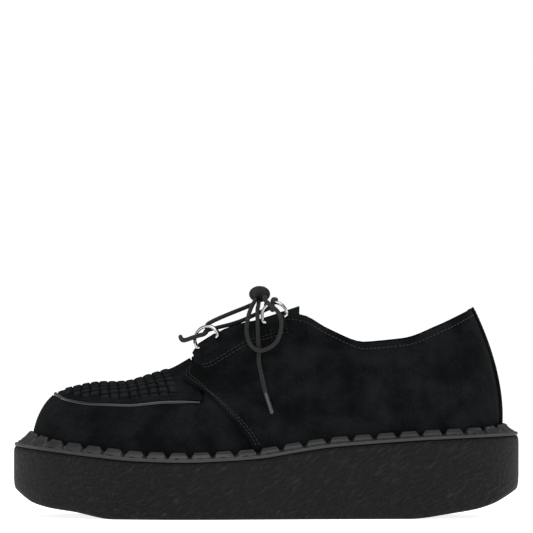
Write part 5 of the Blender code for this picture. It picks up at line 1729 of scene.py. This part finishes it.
    def heel_strip(self) -> None:
        """Builds the backstay with rounded edges."""
        skin = Skin()
        sheets = []
        steps = (1.0, 0.97, 0.9, 0.75, 0.5, 0.25, 0.0)
        for skin_number in (0, 1):
            rows = []
            for rise in self.quarter_rises(LATERAL) + [1.0]:
                width = HEEL_STRIP_HALF * (1.1 - 0.35 * rise)
                spread = width / PLAN.length[LATERAL][-1]
                row = [(LATERAL, 1 - spread * k, k) for k in steps]
                row += [(MEDIAL, 1 - spread * k, k) for k in steps[-2::-1]]
                base = QUARTER_LAYER + LAYER_GAP
                points = []
                for side, share, k in row:
                    thick = HEEL_STRIP_THICKNESS * (0.35 + 0.65 * smooth((1 - k) / 0.09)) * skin_number
                    points.append(quarter_point(side, share, rise, base + thick))
                rows.append(points)
            sheets.append(skin.grid(rows))
        skin.rim(*sheets)
        settle(skin.build("suede_heel_strip", self.finishes["suede"], 50.0), "suede", "heel_strip")

    def piping(self) -> None:
        """Builds the round piping, thinner at both ends."""
        depth = -APRON_LAYER + LAYER_GAP + PIPING_RADIUS
        route, radii = [], []
        for _, side in SIDES:
            stop = quarter_front(side, piping_rise(side, THROAT_SHARE))
            stop = min(stop, THROAT_SHARE) - 3 * PIPING_RADIUS / PLAN.length[side][-1]
            shares = np.linspace(0.0, stop, 110)
            leg = [layer_point(side, float(s), piping_rise(side, float(s)), depth) for s in shares]
            sizes = [PIPING_RADIUS * (1 - 0.45 * smooth((s / stop - 0.9) / 0.1)) for s in shares]
            route = route + leg[1:] if route else leg[::-1]
            radii = radii + sizes[1:] if radii else sizes[::-1]
        obj = tube("leather_piping", self.finishes["piping_leather"], route, radii, 14)
        settle(obj, "piping_leather", "apron_piping")

    def tongue(self) -> None:
        """Builds the tongue with a soft crown."""
        low = float(last_columns()[COLUMNS_VAMP - 2])
        skin = Skin()
        sheets = []
        for skin_number in (0, 1):
            rows = [tongue_section(float(s), skin_number) for s in np.linspace(low, COLLAR_SHARE, 26)]
            way = [unit(b - a) for a, b in zip(rows[-3], rows[-1])]
            for reach in (0.3, 0.6, 0.85, 1.0):
                rows.append([p + w * TONGUE_REACH * reach for p, w in zip(rows[25], way)])
            sheets.append(skin.grid(rows))
        skin.rim(*sheets)
        settle(skin.build("suede_tongue", self.finishes["suede"]), "suede", "tongue")


@dataclass
class Apron:
    """Interlaced apron: strips that go over and under each other on a domed wall."""

    finishes: Finishes
    per_cell: int = 8

    def build(self) -> None:
        """Builds the apron from a fine grid over the dome."""
        dome = Dome()
        edges = {side: apron_edge(side) for _, side in SIDES}
        toe = max(edges[side][0, 0] for _, side in SIDES)
        rear = last_point(LATERAL, THROAT_SHARE, 1.0)[0] - LAYER_GAP
        rear_edge = min(edges[side][-1, 0] for _, side in SIDES)
        half = max(abs(edges[side][:, 1] - PLAN.centre_at(rear)).max() for _, side in SIDES)
        skew = (rear_edge - rear) / half
        weave_end = toe + WEAVE_START + WEAVE_REACH

        def line_x(start: float, away: float) -> float:
            return start + skew * smooth((start - toe) / (rear - toe)) * away

        def limit(side: float, start: float) -> float:
            edge = edges[side]

            def outside(away: float) -> float:
                x = line_x(start, away)
                gap = np.interp(x, edge[:, 0], side * (edge[:, 1] - np.interp(x, PLAN.x, PLAN.middle)))
                return away - gap

            return max(solve(outside, 0.0, 2 * half), 0.0)

        step = WEAVE_PITCH / self.per_cell
        starts = list(np.linspace(toe + LAYER_GAP, toe + WEAVE_START, 6)[:-1])
        starts += list(np.arange(toe + WEAVE_START, weave_end, step))
        starts += list(np.linspace(weave_end, rear, 24))
        lanes = int(math.ceil(half / WEAVE_PITCH)) * self.per_cell
        ways = [k * step for k in range(-lanes, lanes + 1)]
        skin = Skin()
        sheets = []
        for skin_number in (0, 1):
            rows, tones = [], []
            for start in starts:
                row, tone = [], []
                bounds = {side: limit(side, float(start)) for _, side in SIDES}
                for way in ways:
                    side = MEDIAL if way >= 0 else LATERAL
                    away = min(abs(way), bounds[side])
                    place = line_x(start, away)
                    y = PLAN.centre_at(place) + side * away
                    relief, value = 0.0, 0.55
                    if skin_number:
                        relief, value = self.relief(start - toe - WEAVE_START, way, bounds[side] - abs(way),
                                                    weave_end - start)
                    row.append(dome.offset(place, y, relief - APRON_THICKNESS * (1 - skin_number)))
                    tone.append(value)
                rows.append(row)
                tones.append(tone)
            # The tones become the "edge" attribute: painted shade in the weave's gaps, painted highlight on
            # its crowns.
            sheets.append(skin.grid(rows, values=tones))
        skin.rim(*sheets)
        settle(skin.build("woven_suede_apron", self.finishes["woven_suede"], 70.0), "suede", "woven_apron")

    def relief(self, back: float, way: float, margin: float, rest: float) -> tuple[float, float]:
        """Height of the weave at a place.

        Args:
            back: distance behind the weave's start.
            way: distance from the middle line, with its side's sign.
            margin: distance inside the apron's edge.
            rest: distance to the weave's end.

        Returns:
            The height over the wall and a tone from 0 in the gaps to 1 on the strips, which paints shade into
            the gaps and a highlight onto the crowns.
        """
        inside = smooth((margin - 0.0025) / 0.0015) * smooth(back / 0.001) * smooth(rest / 0.001)
        u, v = back / WEAVE_PITCH, way / WEAVE_PITCH
        i, j = math.floor(u), math.floor(v)
        u, v = u - i, v - j
        if (i + j) % 2:
            u, v = v, u
        across = 1 - abs(2 * u - 1) ** 8
        along = math.sin(math.pi * min(max(v, 0.0), 1.0)) ** 0.6
        height = across * (0.15 + 0.85 * along)
        lifted = height * WEAVE_RELIEF * 1.35 - WEAVE_RELIEF * 0.4 * (1 - across)
        return inside * lifted, 0.55 * (1 - inside) + height * inside


class Trim:
    """Rings, keepers and laces."""

    def __init__(self, finishes: Finishes) -> None:
        """Works out the rings' seats and the knot's middle."""
        self.finishes = finishes
        self.seats = {}
        for _, side in SIDES:
            for spot, place in (("front", 0.43), ("rear", 0.93)):
                self.seats[side, spot] = RingSeat(side, place)
        self.knot = knot_centre(self.seats)

    def laces(self) -> None:
        """Builds the free laces with their tips first, then the bars."""
        cotton = self.finishes["lace_cotton"]
        for name, side in SIDES:
            loop = resample([cord_point(self.knot, side, row) for row in LOOP_ROUTE], 0.0012)
            obj = tube(f"bow_loop_{name}", cotton, loop, LACE_RADIUS)
            settle(obj, "lace_cotton", f"lace_loop_{name}")
            corners = [cord_point(self.knot, side, row) for row in END_ROUTE]
            end = resample(corners, 0.0012)
            obj = tube(f"bow_end_{name}", cotton, end, LACE_RADIUS)
            settle(obj, "lace_cotton", f"lace_end_{name}")
            tip = self.aglet(name, corners[-1], cord_point(self.knot, side, AGLET_TIP))
        bars = resample(lace_route(self.seats), 0.0012)
        settle(tube("lace_crossings", cotton, bars, LACE_RADIUS), "lace_cotton", "lace_bars")

    def aglet(self, name: str, start: Array, tip: Array) -> bpy.types.Object:
        """Builds the sheath on a lace's tip."""
        along = unit(tip - start)
        stations = ((0.0, 0.86), (0.02, 0.97), (0.05, 1.0), (0.5, 1.0),
                    (0.93, 0.97), (0.98, 0.85), (1.0, 0.6))
        route = [start + along * (LAYER_GAP + AGLET_LENGTH * s) for s, _ in stations]
        radii = [AGLET_RADIUS * r for _, r in stations]
        obj = tube(f"lace_tip_{name}", self.finishes["aglet_plastic"], route, radii, 18)
        return settle(obj, "aglet_plastic", f"aglet_{name}")

    def bow_knot(self) -> None:
        """Builds the knot: a core with strands wrapped round it."""
        x, y, z = KNOT_LENGTH / 2, KNOT_WIDTH / 2, KNOT_HEIGHT / 2
        routes = []
        for shift, tilt, size in ((-0.30, 0.25, 1.0), (0.30, 0.18, 0.94)):
            ring = []
            for k in range(48):
                turn = 2 * math.pi * k / 48
                ring.append(self.knot + np.array((
                    x * shift + x * 0.32 * math.sin(turn) * tilt,
                    (y - LACE_RADIUS) * math.cos(turn) * size,
                    (z - LACE_RADIUS) * math.sin(turn) * size,
                )))
            routes.append(("wrap_front" if shift < 0 else "wrap_rear", ring))
        ring = []
        for k in range(48):
            turn = 2 * math.pi * k / 48
            ring.append(self.knot + np.array((
                (x - LACE_RADIUS) * math.cos(turn),
                y * 0.15 * math.sin(turn),
                (z - LACE_RADIUS) * math.sin(turn),
            )))
        routes.append(("arc", ring))
        core = Skin()
        rows = []
        for i in range(13):
            tilt = math.pi * i / 12
            rows.append([self.knot + np.array((math.sin(tilt) * math.cos(2 * math.pi * k / 24) * x * 0.8,
                                               math.sin(tilt) * math.sin(2 * math.pi * k / 24) * y * 0.8,
                                               math.cos(tilt) * z * 0.8)) for k in range(24)])
        core.grid(rows, closed=True)
        cotton = self.finishes["lace_cotton"]
        settle(core.build("knot_core", cotton), "lace_cotton", "lace_knot")
        for name, ring in routes:
            settle(tube(f"knot_{name}", cotton, ring, LACE_RADIUS * 1.05, 14, closed=True), "lace_cotton")

    def rings(self) -> None:
        """Builds the four wire rings."""
        half = RING_WIDTH / 2
        leg = max(RING_HEIGHT - half, 0.2 * RING_HEIGHT)
        corner = 1.4 * RING_WIRE_RADIUS
        arch = RING_HEIGHT - leg
        outline = [(x, 0.0) for x in np.linspace(-half + corner, half - corner, 8)]
        outline += [(half - 0.3 * corner, 0.3 * corner), (half, corner)]
        outline += [(half * math.cos(t), leg + arch * math.sin(t)) for t in np.linspace(0.0, math.pi, 33)]
        outline += [(-half, corner), (-half + 0.3 * corner, 0.3 * corner)]
        for name, side in SIDES:
            for spot in ("front", "rear"):
                seat = self.seats[side, spot]
                route = [seat.place(a, b, seat.lift) for a, b in outline]
                steel = self.finishes["ring_steel"]
                obj = tube(f"steel_ring_{name}_{spot}", steel, route, RING_WIRE_RADIUS, 14, True)
                settle(obj, "ring_steel", f"ring_{name}_{spot}")

    def keepers(self) -> None:
        """Builds the folded leather loop over each ring's bar."""
        inner = RING_WIRE_RADIUS + LAYER_GAP
        outer = inner + KEEPER_THICKNESS
        floor = 1.5 * LAYER_GAP
        turns = np.linspace(0.0, math.pi, 17)
        tail = np.linspace(1.0, 0.0, 7)
        soft = 0.3 * KEEPER_THICKNESS
        for name, side in SIDES:
            for spot in ("front", "rear"):
                seat = self.seats[side, spot]
                outline = [(-outer - KEEPER_TAIL, floor)]
                outline += [(-outer - KEEPER_TAIL, floor + KEEPER_THICKNESS - soft)]
                outline += [(-outer - KEEPER_TAIL * t, floor + KEEPER_THICKNESS) for t in tail * 0.95]
                outline += [(-outer * math.cos(t), seat.lift + outer * math.sin(t)) for t in turns]
                outline += [(outer, floor), (inner, floor)]
                outline += [(inner * math.cos(t), seat.lift + inner * math.sin(t)) for t in turns]
                outline += [(-inner, floor)]
                skin = Skin()
                rows = []
                for along in np.linspace(-KEEPER_WIDTH / 2, KEEPER_WIDTH / 2, 9):
                    rows.append([seat.place(float(along), float(a), float(b)) for a, b in outline])
                marks = skin.grid(rows, closed=True)
                skin.face(marks[0])
                skin.face(marks[-1][::-1])
                obj = skin.build(f"suede_keeper_{name}_{spot}", self.finishes["suede"], 50.0)
                settle(obj, "suede", f"keeper_{name}_{spot}")


def main() -> None:
    """Builds the shoe and its studio, in order."""
    logging.basicConfig(level=logging.INFO, format="%(message)s")
    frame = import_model()
    studio = Studio()
    studio.camera()
    finishes = Finishes()
    trim = Trim(finishes)
    trim.laces()
    trim.bow_knot()
    trim.rings()
    trim.keepers()
    sole = Sole(finishes)
    sole.outsole()
    sole.welt()
    body = Body(finishes)
    body.shell()
    body.lining()
    for name, side in SIDES:
        body.quarter(name, side)
    body.heel_strip()
    body.piping()
    body.tongue()
    Apron(finishes).build()
    body.seams()
    insole = frame["nodes"]["insole"]
    insole.data.materials.clear()
    insole.data.materials.append(finishes["lining_leather"])
    studio.light()
    studio.floor()


if __name__ == "__main__":
    main()
